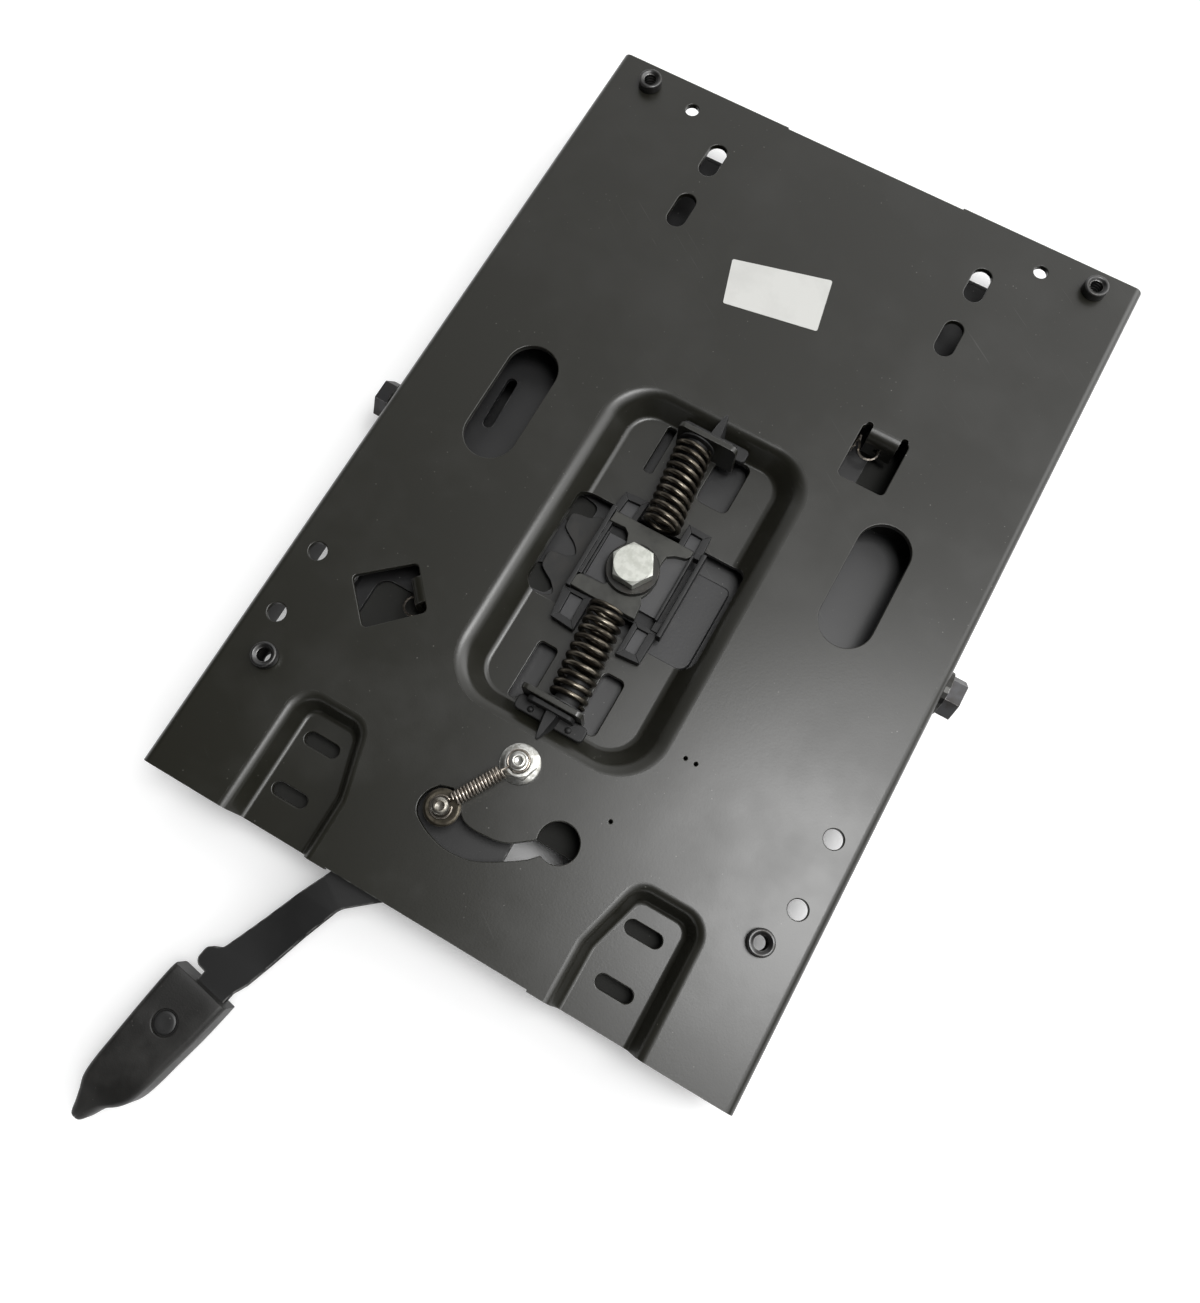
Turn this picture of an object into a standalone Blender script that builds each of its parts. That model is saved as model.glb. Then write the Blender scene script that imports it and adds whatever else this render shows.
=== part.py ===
"""Seat slide rail unit with a sprung fore-and-aft isolator and a lock-out lever.

Lengths below are in millimetres, measured from the middle of the top plate (x to the
right, y to the rear) and from the feet of the lower frame (z up).  Everything is turned
into metres, and moved along y so that the box around the unit is centred, on the way
into the mesh.
"""
import math

import bpy
import bmesh
from mathutils import Vector

FRAME_SHIFT_Y = 66.0

# top plate: a flanged tray
PLATE_HALF_WIDTH = 137.5
PLATE_HALF_LENGTH = 203.0
PLATE_TOP = 42.0
PLATE_THICKNESS = 2.5
PLATE_BEND = 5.0
FLANGE_HEIGHT = 30.0
FRONT_EDGE = -PLATE_HALF_LENGTH
REAR_EDGE = PLATE_HALF_LENGTH
PLATE_INSIDE = PLATE_HALF_WIDTH - PLATE_THICKNESS
PLATE_UNDERSIDE = PLATE_TOP - PLATE_THICKNESS

# central recess in the top plate
RECESS_TO_FRONT_EDGE = 87.5
RECESS_HALF_X = 48.0
RECESS_HALF_Y = 83.0
RECESS_DEPTH = 11.0
RECESS_INSET = 11.7
RECESS_END_INSET = 8.0
RECESS_CORNER = 24.0
RECESS_FLOOR_CORNER = 12.0
RECESS_RIM_ROLL = 6.0
RECESS_FLOOR_ROLL = 3.5
RECESS_FRONT = FRONT_EDGE + RECESS_TO_FRONT_EDGE
RECESS_CENTRE_Y = RECESS_FRONT + RECESS_HALF_Y
RECESS_REAR = RECESS_CENTRE_Y + RECESS_HALF_Y
RECESS_FLOOR_Z = PLATE_TOP - RECESS_DEPTH
CUTOUT_HALF_X = RECESS_HALF_X - 6.5
CUTOUT_HALF_Y = 26.5

# front pockets
POCKET_DEPTH = 10.0
POCKET_INSET = 6.5
POCKET_RIM_ROLL = 3.0
POCKET_FLOOR_ROLL = 2.4
POCKET_LENGTH = 58.0

# guide rails and rollers, and the lower frame that fits between the rails
GAP = 0.3
RAIL_DEPTH = 12.0
RAIL_HEIGHT = 17.4
RAIL_WALL = 2.0
RAIL_TO_FLANGE = 10.7
RAIL_FRONT = FRONT_EDGE + 125.0
RAIL_REAR = REAR_EDGE - 43.0
ROLLER_WIDTH = 7.0
ROLLER_PLAY = 0.3
ROLLER_RADIUS = RAIL_HEIGHT / 2 - RAIL_WALL - ROLLER_PLAY
ROLLER_BORE = 3.2
ROLLER_Y = (REAR_EDGE - 73.0, FRONT_EDGE + 153.0)

FRAME_HALF_WIDTH = PLATE_INSIDE - RAIL_TO_FLANGE - RAIL_DEPTH - GAP
FRAME_FRONT = FRONT_EDGE + 56.0
FRAME_REAR = REAR_EDGE - 21.0
FRAME_TOP = PLATE_TOP - 19.0
FRAME_THICKNESS = 2.5
FOOT_WIDTH = 20.0
RAIL_BOTTOM = FRAME_TOP - 14.0
ROLLER_Z = RAIL_BOTTOM + RAIL_HEIGHT / 2

# isolator
ISOLATOR_X = -1.9
ISOLATOR_Y = RECESS_CENTRE_Y + 0.5
SPRING_RADIUS = 9.0
SPRING_WIRE = 2.5
SPRING_COILS = 11
SPRING_AXIS = PLATE_TOP - 1.0
TAB_TOP = PLATE_TOP + 8.0
TAB_FACE = RECESS_HALF_Y - 16.7
TAB_LEFT = -16.0
TAB_RIGHT = 12.6
GUIDE_HALF_WIDTH = 16.5
GUIDE_DEPTH = 7.0
GUIDE_NECKS = (-1.5, 0.0)
CENTRE_BOLT_RADIUS = 5.0
CENTRE_BORE = CENTRE_BOLT_RADIUS + 0.5
CENTRE_FLATS = 17.0

# lever
PIVOT = (-0.5, RECESS_FRONT - 12.5)
PIVOT_RADIUS = 4.9
PIVOT_BORE = PIVOT_RADIUS + GAP
PIN = (PIVOT[0] - 18.3, PIVOT[1] - 30.8)
PIN_RADIUS = 2.8
STUD_RADIUS = 3.9
LEVER_THICKNESS = 3.8
LEVER_TOP = PLATE_TOP - 13.4
LEVER_BOTTOM = LEVER_TOP - LEVER_THICKNESS
LEVER_DROP = 3.5

# openings of the top plate: half a spacing in x, then places along y
REAR_HOLE = (PLATE_HALF_WIDTH - 45.5, REAR_EDGE - 13.9)
REAR_HOLE_RADIUS = 3.3
FIXING_SLOT_X = PLATE_HALF_WIDTH - 68.0
FIXING_SLOT_YS = ((REAR_EDGE - 39.5, REAR_EDGE - 29.8), (REAR_EDGE - 71.5, REAR_EDGE - 61.3))
FIXING_SLOT_RADIUS = 4.6
SIDE_SLOT_X = PLATE_HALF_WIDTH - 49.2
SIDE_SLOT_YS = (RECESS_CENTRE_Y + 25.5, RECESS_CENTRE_Y + 61.5)
SIDE_SLOT_RADIUS = 12.1
EDGE_HOLE_X = PLATE_HALF_WIDTH - 13.2
EDGE_HOLE_YS = (FRONT_EDGE + 111.3, FRONT_EDGE + 79.7)
EDGE_HOLE_RADIUS = 4.2
COLLAR_X = PLATE_HALF_WIDTH - 20.5
COLLAR_YS = ((REAR_EDGE - 11.2, "rear"), (FRONT_EDGE + 61.2, "front"))
COLLAR_BORE = 3.3
COLLAR_SHANK = 4.4
COLLAR_RADIUS = 5.65
COLLAR_HOLE = COLLAR_SHANK + 0.5
POCKET_SLOT_X = PLATE_HALF_WIDTH - 59.7
POCKET_SLOT_YS = (FRONT_EDGE + 41.5, FRONT_EDGE + 17.4)

# side bolts
SIDE_BOLT_Y = RECESS_CENTRE_Y + 22.7
SIDE_BOLT_Z = PLATE_TOP - 16.5
SIDE_BOLT_RADIUS = 4.9
SIDE_BORE = SIDE_BOLT_RADIUS + 0.4
SIDE_NUT_HEIGHT = 8.3


def clear_scene():
    for item in list(bpy.data.objects):
        bpy.data.objects.remove(item, do_unlink=True)


def to_metres(point):
    return (point[0] / 1000.0, (point[1] + FRAME_SHIFT_Y) / 1000.0, point[2] / 1000.0)


def make_material(name, color, metallic, roughness):
    material = bpy.data.materials.new(name)
    material.use_nodes = True
    shader = material.node_tree.nodes["Principled BSDF"]
    shader.inputs["Base Color"].default_value = (*color, 1.0)
    shader.inputs["Metallic"].default_value = metallic
    shader.inputs["Roughness"].default_value = roughness
    return material


def loft(bm, rings):
    """One closed body through rings of equally many points."""
    rows = [[bm.verts.new(p) for p in ring] for ring in rings]
    count = len(rows[0])
    for low, high in zip(rows, rows[1:]):
        for i in range(count):
            j = (i + 1) % count
            bm.faces.new((low[i], low[j], high[j], high[i]))
    bm.faces.new(list(reversed(rows[0])))
    bm.faces.new(rows[-1])


def prism(bm, outline, z0, z1):
    loft(bm, [[(x, y, z0) for x, y in outline], [(x, y, z1) for x, y in outline]])


def box(bm, x0, x1, y0, y1, z0, z1):
    prism(bm, [(x0, y0), (x1, y0), (x1, y1), (x0, y1)], z0, z1)


def extrude_y(bm, section, y0, y1):
    loft(bm, [[(x, y0, z) for x, z in section], [(x, y1, z) for x, z in section]])


def circle(x, y, radius, segments=24):
    step = 2.0 * math.pi / segments
    return [(x + radius * math.cos(i * step), y + radius * math.sin(i * step)) for i in range(segments)]


def hexagon(x, y, across_flats, turn=0.0):
    radius = across_flats / math.sqrt(3.0)
    return [(x + radius * math.cos(turn + i * math.pi / 3), y + radius * math.sin(turn + i * math.pi / 3))
            for i in range(6)]


def obround(x0, y0, x1, y1, radius, segments=8):
    """A slot outline between two arc centres."""
    heading = math.atan2(y1 - y0, x1 - x0)
    outline = []
    for cx, cy, start in ((x1, y1, heading - math.pi / 2), (x0, y0, heading + math.pi / 2)):
        for i in range(segments + 1):
            angle = start + math.pi * i / segments
            outline.append((cx + radius * math.cos(angle), cy + radius * math.sin(angle)))
    return outline


def round_corners(corners, radii, segments=4):
    """A polygon with each corner turned into an arc; radius 0 keeps the corner."""
    outline = []
    count = len(corners)
    for i in range(count):
        here = Vector(corners[i])
        back = (Vector(corners[i - 1]) - here).normalized()
        ahead = (Vector(corners[(i + 1) % count]) - here).normalized()
        radius = radii[i] if isinstance(radii, (list, tuple)) else radii
        if radius <= 0.0:
            outline.append(tuple(here))
            continue
        half = math.acos(max(-1.0, min(1.0, back.dot(ahead)))) / 2.0
        reach = radius / math.tan(half)
        centre = here + (back + ahead).normalized() * (radius / math.sin(half))
        first = here + back * reach - centre
        last = here + ahead * reach - centre
        sweep = first.angle_signed(last)
        for k in range(segments + 1):
            angle = -sweep * k / segments
            turned = Vector((first.x * math.cos(angle) - first.y * math.sin(angle),
                             first.x * math.sin(angle) + first.y * math.cos(angle)))
            outline.append(tuple(centre + turned))
    return outline


def rounded_box(cx, cy, half_x, half_y, radius, segments=6):
    corners = [(cx - half_x, cy - half_y), (cx + half_x, cy - half_y),
               (cx + half_x, cy + half_y), (cx - half_x, cy + half_y)]
    return round_corners(corners, radius, segments)


def mirrored(outline):
    return [(-x, y) for x, y in reversed(outline)]


def blend_outlines(first, second, share):
    return [(a[0] + (b[0] - a[0]) * share, a[1] + (b[1] - a[1]) * share) for a, b in zip(first, second)]


def turned(bm, profile, centre, axis, segments=24):
    """A body of revolution: profile is (distance along the axis, radius)."""
    rings = []
    for along, radius in profile:
        ring = []
        for i in range(segments):
            angle = 2.0 * math.pi * i / segments
            a = radius * math.cos(angle)
            b = radius * math.sin(angle)
            offset = {"x": (along, a, b), "y": (b, along, a), "z": (a, b, along)}[axis]
            ring.append(tuple(centre[k] + offset[k] for k in range(3)))
        rings.append(ring)
    loft(bm, rings)


def swept(bm, path, radius, sides=8):
    """A round wire along a path, closed at both ends."""
    points = [Vector(p) for p in path]
    tangent = (points[1] - points[0]).normalized()
    normal = tangent.orthogonal().normalized()
    rings = []
    for i, point in enumerate(points):
        ahead = points[min(i + 1, len(points) - 1)] - points[max(i - 1, 0)]
        ahead.normalize()
        normal = (normal - ahead * normal.dot(ahead)).normalized()
        side = ahead.cross(normal)
        rings.append([tuple(point + (normal * math.cos(2 * math.pi * k / sides)
                                     + side * math.sin(2 * math.pi * k / sides)) * radius)
                      for k in range(sides)])
    loft(bm, rings)


def is_warped(face):
    origin = face.verts[0].co
    return any(abs((vert.co - origin).dot(face.normal)) > 1e-5 for vert in face.verts)


def raw_object(name, bm):
    bmesh.ops.recalc_face_normals(bm, faces=bm.faces)
    bm.normal_update()
    bmesh.ops.triangulate(bm, faces=[face for face in bm.faces if is_warped(face)])
    mesh = bpy.data.meshes.new(name)
    bm.to_mesh(mesh)
    bm.free()
    item = bpy.data.objects.new(name, mesh)
    bpy.context.collection.objects.link(item)
    return item


def combine(target, tool, operation):
    """Carry out one exact Boolean step and drop the tool."""
    modifier = target.modifiers.new("step", "BOOLEAN")
    modifier.solver = "EXACT"
    modifier.operation = operation
    modifier.object = tool
    bpy.context.view_layer.update()
    depsgraph = bpy.context.evaluated_depsgraph_get()
    mesh = bpy.data.meshes.new_from_object(target.evaluated_get(depsgraph))
    target.modifiers.clear()
    target.data = mesh
    bpy.data.objects.remove(tool, do_unlink=True)


def finish(item, material, smooth_angle=0.0):
    """Scale to metres, tidy the mesh, and give it its own material and shading."""
    bm = bmesh.new()
    bm.from_mesh(item.data)
    bmesh.ops.remove_doubles(bm, verts=bm.verts, dist=0.002)
    bmesh.ops.dissolve_degenerate(bm, edges=bm.edges, dist=0.002)
    for vert in bm.verts:
        vert.co = Vector(to_metres(vert.co))
    bmesh.ops.triangulate(bm, faces=[f for f in bm.faces if len(f.verts) > 4])
    bmesh.ops.recalc_face_normals(bm, faces=bm.faces)
    bm.to_mesh(item.data)
    bm.free()
    item.data.name = item.name
    item.data.materials.clear()
    item.data.materials.append(material)
    if smooth_angle > 0.0:
        item.data.shade_smooth()
        item.data.set_sharp_from_angle(angle=math.radians(smooth_angle))
    return item


def simple(name, draw, material, smooth_angle=0.0):
    bm = bmesh.new()
    draw(bm)
    return finish(raw_object(name, bm), material, smooth_angle)


def set_origin(item, point):
    """Put the object's origin on its joint axis without moving the mesh."""
    origin = Vector(to_metres(point))
    for vert in item.data.vertices:
        vert.co -= origin
    item.location = origin


def around(centre, points):
    """Points given from a centre, as places on the plate."""
    return [(centre[0] + x, centre[1] + y) for x, y in points]


def pocket_outline(outer_left, slant_left, inner_left, inner_right, outer_right, back, start):
    """A pocket of the right-hand side, open at the front edge; x from the plate's side."""
    edge = PLATE_HALF_WIDTH
    ahead = FRONT_EDGE - 7.0
    return [(edge - outer_left, ahead), (edge - outer_right, ahead), (edge - inner_right, back),
            (edge - inner_left, back), (edge - slant_left, start)]


POCKET_BACK = FRONT_EDGE + POCKET_LENGTH
POCKET_RIM = pocket_outline(82.0, 82.0, 73.0, 40.0, 39.0, POCKET_BACK, POCKET_BACK - 32.0)
POCKET_RIM_RADII = [0, 0, 10, 9, 14]
POCKET_FLOOR = pocket_outline(82.0 - POCKET_INSET, 82.0 - POCKET_INSET, 74.5 - POCKET_INSET,
                              39.5 + POCKET_INSET, 39.5 + POCKET_INSET,
                              POCKET_BACK - POCKET_INSET, POCKET_BACK - 31.0)
POCKET_FLOOR_RADII = [0, 0, 4.5, 4, 10]

# the lever pin's slot, from the pivot, and the round hole at its end
ARC_SLOT_OUTER = [(-24.0, -23.5), (-27.1, -27.5), (-28.3, -32.5), (-26.9, -37.0), (-22.8, -40.1),
                  (-17.0, -42.6), (-10.5, -44.2), (-3.8, -44.2), (2.5, -43.0), (8.5, -40.2),
                  (14.2, -36.8), (18.5, -34.0), (22.1, -31.4)]
ARC_SLOT_INNER = [(17.1, -26.4), (12.5, -29.6), (7.5, -31.4), (1.9, -32.0), (-3.5, -32.2),
                  (-8.5, -31.0), (-11.9, -27.8), (-14.1, -24.2), (-18.9, -22.0)]
SLOT_HOLE = (29.5, -19.8)
SLOT_HOLE_RADIUS = 8.7
SLOT_HOLE_SWEEP = (-116.0, 201.0)

# windows beside the recess
WINDOW_TO_RECESS = 6.6
WINDOW_WIDTH = 22.4
WINDOW_LENGTH = 28.0
WINDOW_CORNER = 2.2
WINDOW_LEFT = RECESS_HALF_X + WINDOW_TO_RECESS
WINDOW_FRONT = RECESS_REAR + 1.0
WINDOW_REAR = WINDOW_FRONT + WINDOW_LENGTH
SQUARE_WINDOW = [(WINDOW_LEFT, WINDOW_FRONT), (WINDOW_LEFT + WINDOW_WIDTH, WINDOW_FRONT),
                 (WINDOW_LEFT + WINDOW_WIDTH, WINDOW_REAR), (WINDOW_LEFT, WINDOW_REAR)]
DIAMOND_MIDDLE = (-RECESS_HALF_X - 38.5, ISOLATOR_Y - 60.9)
DIAMOND_WINDOW = around(DIAMOND_MIDDLE, [(-18.9, -0.7), (-2.2, -18.4), (18.0, 1.2), (2.9, 18.0)])

# hooks of the two light springs: a point in the lug's plane, and the distance to the spring's post
RIGHT_HOOK = (WINDOW_LEFT + 7.4, WINDOW_REAR - 3.9)
RIGHT_HOOK_LENGTH = 44.0
LEFT_HOOK = (DIAMOND_MIDDLE[0] + 10.55, DIAMOND_MIDDLE[1] + 3.64)
LEFT_HOOK_LENGTH = 33.0
LEFT_HEADING = (-0.668, 0.744)
RETURN_SPRING_Z = PLATE_TOP - 9.5
POST_RADIUS = 2.2
POST_OFFSET = 1.6
RIGHT_POST = (RIGHT_HOOK[0] - RIGHT_HOOK_LENGTH, RIGHT_HOOK[1] - POST_OFFSET)
LEFT_POST = (LEFT_HOOK[0] - LEFT_HEADING[0] * LEFT_HOOK_LENGTH - LEFT_HEADING[1] * POST_OFFSET,
             LEFT_HOOK[1] - LEFT_HEADING[1] * LEFT_HOOK_LENGTH + LEFT_HEADING[0] * POST_OFFSET)


def wall_slope(depth, inset, rolls):
    """Angle of a pressed wall that joins two rolled bends across a given inset and depth."""
    low, high = 0.2, math.radians(89.0)
    for _ in range(50):
        angle = (low + high) / 2
        across = inset - rolls * math.sin(angle)
        down = depth - rolls * (1.0 - math.cos(angle))
        if down * math.cos(angle) > across * math.sin(angle):
            low = angle
        else:
            high = angle
    return angle


def pressed_profile(depth, inset, rim, floor, under, steps=4):
    """Rows of (inset, depth) down a pressed wall; 'under' gives the sheet's lower face."""
    slope = wall_slope(depth, inset, rim + floor)
    thickness = PLATE_THICKNESS if under else 0.0
    rows = [(-3.0, thickness / 2), (-0.6, thickness - 0.15)] if under else [(-0.4, -0.4)]
    for i in range(1, steps + 1):
        angle = slope * i / steps
        rows.append(((rim - thickness) * math.sin(angle), rim - (rim - thickness) * math.cos(angle)))
    for i in range(steps + 1):
        angle = slope * (1.0 - i / steps)
        rows.append((inset - (floor + thickness) * math.sin(angle),
                     depth - floor + (floor + thickness) * math.cos(angle)))
    return rows


def recess_ring(inset, depth):
    share = inset / RECESS_INSET
    radius = RECESS_CORNER + (RECESS_FLOOR_CORNER - RECESS_CORNER) * share
    outline = rounded_box(0.0, RECESS_CENTRE_Y, RECESS_HALF_X - inset,
                          RECESS_HALF_Y - RECESS_END_INSET * share, radius)
    return [(x, y, PLATE_TOP - depth) for x, y in outline]


def pocket_ring(inset, depth, side):
    rim = round_corners(POCKET_RIM, POCKET_RIM_RADII)
    floor = round_corners(POCKET_FLOOR, POCKET_FLOOR_RADII)
    outline = blend_outlines(rim, floor, inset / POCKET_INSET)
    if side < 0:
        outline = mirrored(outline)
    return [(x, y, PLATE_TOP - depth) for x, y in outline]


def arc_slot():
    """The lever pin's slot, ending in the round hole that its disc is put in through."""
    low, high = SLOT_HOLE_SWEEP
    hole = []
    for i in range(21):
        angle = math.radians(low + (high - low) * i / 20)
        hole.append((SLOT_HOLE[0] + SLOT_HOLE_RADIUS * math.cos(angle),
                     SLOT_HOLE[1] + SLOT_HOLE_RADIUS * math.sin(angle)))
    return around(PIVOT, ARC_SLOT_OUTER + hole + ARC_SLOT_INNER)


def plate_section():
    """The flanged sheet as a closed outline in x and z."""
    outer = PLATE_BEND
    inner = PLATE_BEND - PLATE_THICKNESS
    wall = PLATE_HALF_WIDTH - PLATE_THICKNESS
    bottom = PLATE_TOP - FLANGE_HEIGHT
    steps = 5
    points = [(PLATE_HALF_WIDTH, bottom)]
    for i in range(steps + 1):
        angle = math.pi / 2 * i / steps
        points.append((PLATE_HALF_WIDTH - outer + outer * math.cos(angle),
                       PLATE_TOP - outer + outer * math.sin(angle)))
    left = [(-x, z) for x, z in reversed(points)]
    inside = [(-wall, bottom)]
    for i in range(steps + 1):
        angle = math.pi / 2 * i / steps
        inside.append((-(PLATE_HALF_WIDTH - outer + inner * math.cos(angle)),
                       PLATE_TOP - outer + inner * math.sin(angle)))
    right = [(-x, z) for x, z in reversed(inside)]
    return points + left + inside + right


def spring_tab(bm, x0, x1, face, away):
    """An upright lug lanced out of the recess floor; its far side lies 'away' from the springs."""
    y0, y1 = sorted((face, face + away * PLATE_THICKNESS))
    foot = RECESS_FLOOR_Z - 1.5
    corners = [(x0, foot), (x1, foot), (x1, TAB_TOP), (x0, TAB_TOP)]
    section = round_corners(corners, [0, 0, 3.0, 3.0], 3)
    extrude_y(bm, section, y0, y1)


def window_tab(bm, start, end, inward):
    """A sheet lug rolled down from one edge of a window."""
    path = [(-1.5, -1.25), (0.6, -1.3), (2.2, -1.9), (3.4, -3.2), (3.9, -5.0), (3.9, -14.5)]
    half = 1.15
    rings = []
    for i, (out, drop) in enumerate(path):
        a = path[max(i - 1, 0)]
        b = path[min(i + 1, len(path) - 1)]
        length = math.hypot(b[0] - a[0], b[1] - a[1])
        nx = -(b[1] - a[1]) / length * half
        nz = (b[0] - a[0]) / length * half
        ring = []
        for point, sign in ((start, 1), (end, 1), (end, -1), (start, -1)):
            ring.append((point[0] + inward[0] * (out + nx * sign),
                         point[1] + inward[1] * (out + nx * sign),
                         PLATE_TOP + drop + nz * sign))
        rings.append(ring)
    loft(bm, rings)


PUNCH_BOTTOM = PLATE_TOP - 22.0
PUNCH_TOP = PLATE_TOP + 18.0


def edge_openings(bm):
    """Holes and slots that keep their distance from the plate's sides and ends."""
    z0, z1 = PUNCH_BOTTOM, PUNCH_TOP
    for side in (1, -1):
        x = side * FIXING_SLOT_X
        prism(bm, circle(side * REAR_HOLE[0], REAR_HOLE[1], REAR_HOLE_RADIUS, 16), z0, z1)
        for y0, y1 in FIXING_SLOT_YS:
            prism(bm, obround(x, y0, x, y1, FIXING_SLOT_RADIUS), z0, z1)
        x = side * SIDE_SLOT_X
        prism(bm, obround(x, SIDE_SLOT_YS[0], x, SIDE_SLOT_YS[1], SIDE_SLOT_RADIUS, 10), z0, z1)
        for y in EDGE_HOLE_YS:
            prism(bm, circle(side * EDGE_HOLE_X, y, EDGE_HOLE_RADIUS, 16), z0, z1)
        for y, _ in COLLAR_YS:
            prism(bm, circle(side * COLLAR_X, y, COLLAR_HOLE, 16), z0, z1)
        for y in POCKET_SLOT_YS:
            x = side * POCKET_SLOT_X
            prism(bm, obround(x - 5.2, y, x + 5.2, y, 3.1), z0, z1)


def inner_openings(bm):
    """Windows and slots round the recess and the lever's pivot."""
    z0, z1 = PUNCH_BOTTOM, PUNCH_TOP
    prism(bm, round_corners(SQUARE_WINDOW, WINDOW_CORNER, 3), z0, z1)
    prism(bm, round_corners(DIAMOND_WINDOW, WINDOW_CORNER, 3), z0, z1)
    prism(bm, circle(PIVOT[0], PIVOT[1], PIVOT_BORE, 16), z0, z1)
    prism(bm, arc_slot(), z0, z1)
    prism(bm, rounded_box(0.0, ISOLATOR_Y, CUTOUT_HALF_X, CUTOUT_HALF_Y, 6.0, 4), z0, z1)
    rear = ISOLATOR_Y + TAB_FACE
    front = ISOLATOR_Y - TAB_FACE
    for x0, x1, y0, y1, radius, steps in ((-22.5, -18.3, rear - 18.8, rear + 6.0, 1.2, 2),
                                          (4.8, 20.0, rear - 19.8, rear + 6.0, 3.0, 3),
                                          (-24.6, -16.5, front - 0.3, front + 23.3, 2.0, 3),
                                          (5.0, 15.0, front - 0.3, front + 24.3, 2.0, 3)):
        prism(bm, round_corners([(x0, y0), (x1, y0), (x1, y1), (x0, y1)], radius, steps), z0, z1)


def build_top_plate(material):
    bm = bmesh.new()
    extrude_y(bm, plate_section(), FRONT_EDGE - 4.0, REAR_EDGE)
    plate = raw_object("top_plate", bm)

    for under, operation in ((True, "UNION"), (False, "DIFFERENCE")):
        bm = bmesh.new()
        rows = pressed_profile(RECESS_DEPTH, RECESS_INSET, RECESS_RIM_ROLL, RECESS_FLOOR_ROLL, under)
        loft(bm, [recess_ring(*row) for row in rows])
        rows = pressed_profile(POCKET_DEPTH, POCKET_INSET, POCKET_RIM_ROLL, POCKET_FLOOR_ROLL, under)
        for side in (1, -1):
            loft(bm, [pocket_ring(*row, side) for row in rows])
        combine(plate, raw_object("pressings", bm), operation)

    for draw in (inner_openings, edge_openings):
        bm = bmesh.new()
        draw(bm)
        combine(plate, raw_object("openings", bm), "DIFFERENCE")

    bm = bmesh.new()
    half = PLATE_HALF_WIDTH + 12.5
    box(bm, -half, half, FRONT_EDGE - 12.0, FRONT_EDGE, 0.0, PUNCH_TOP)
    for side in (1, -1):
        for y, z, radius in [(SIDE_BOLT_Y, SIDE_BOLT_Z, SIDE_BORE)] + [(y, ROLLER_Z, 3.4) for y in ROLLER_Y]:
            turned(bm, [(side * (PLATE_INSIDE - 4.0), radius), (side * (PLATE_HALF_WIDTH + 3.5), radius)],
                   (0.0, y, z), "x", 16)
    combine(plate, raw_object("front_trim", bm), "DIFFERENCE")

    bm = bmesh.new()
    spring_tab(bm, TAB_LEFT, TAB_RIGHT, ISOLATOR_Y + TAB_FACE, 1)
    spring_tab(bm, TAB_LEFT, TAB_RIGHT, ISOLATOR_Y - TAB_FACE, -1)
    window_tab(bm, (WINDOW_LEFT + 5.6, WINDOW_REAR), (WINDOW_LEFT + 16.6, WINDOW_REAR), (0.0, -1.0))
    a = Vector(DIAMOND_WINDOW[3])
    b = Vector(DIAMOND_WINDOW[2])
    window_tab(bm, tuple(a.lerp(b, 0.26)), tuple(a.lerp(b, 0.78)), (-LEFT_HEADING[1], LEFT_HEADING[0]))
    for x, y in (RIGHT_POST, LEFT_POST):
        turned(bm, [(-13.2, POST_RADIUS), (-1.5, POST_RADIUS)], (x, y, PLATE_TOP), "z", 12)
    combine(plate, raw_object("lugs", bm), "UNION")

    bm = bmesh.new()
    turned(bm, [(-3, 4.0), (7, 4.0)], (GUIDE_NECKS[0], ISOLATOR_Y + TAB_FACE - 2, SPRING_AXIS), "y", 16)
    turned(bm, [(-7, 4.0), (3, 4.0)], (GUIDE_NECKS[1], ISOLATOR_Y - TAB_FACE + 2, SPRING_AXIS), "y", 16)
    for hook, along in ((RIGHT_HOOK, (1.0, 0.0)), (LEFT_HOOK, LEFT_HEADING)):
        x = hook[0] + along[0] * 3.7
        y = hook[1] + along[1] * 3.7
        swept(bm, [(x + along[1] * 3, y - along[0] * 3, RETURN_SPRING_Z),
                   (x - along[1] * 3, y + along[0] * 3, RETURN_SPRING_Z)], 2.2, 12)
    combine(plate, raw_object("guide_holes", bm), "DIFFERENCE")
    return finish(plate, material, 35)


def build_collars(material):
    """Threaded collars at the four corners, with a shank through the plate."""
    profile = [(-8.0, COLLAR_SHANK), (GAP, COLLAR_SHANK), (GAP, COLLAR_RADIUS - 0.55), (1.0, COLLAR_RADIUS),
               (3.9, COLLAR_RADIUS), (4.5, COLLAR_RADIUS - 0.45)]
    for side, word_x in ((1, "right"), (-1, "left")):
        for y, word_y in COLLAR_YS:
            centre = (side * COLLAR_X, y, PLATE_TOP)
            bm = bmesh.new()
            turned(bm, profile, centre, "z", 18)
            collar = raw_object("collar_%s_%s" % (word_x, word_y), bm)
            bm = bmesh.new()
            turned(bm, [(-12.0, COLLAR_BORE), (8.0, COLLAR_BORE)], centre, "z", 18)
            combine(collar, raw_object("bore", bm), "DIFFERENCE")
            finish(collar, material, 35)


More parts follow.
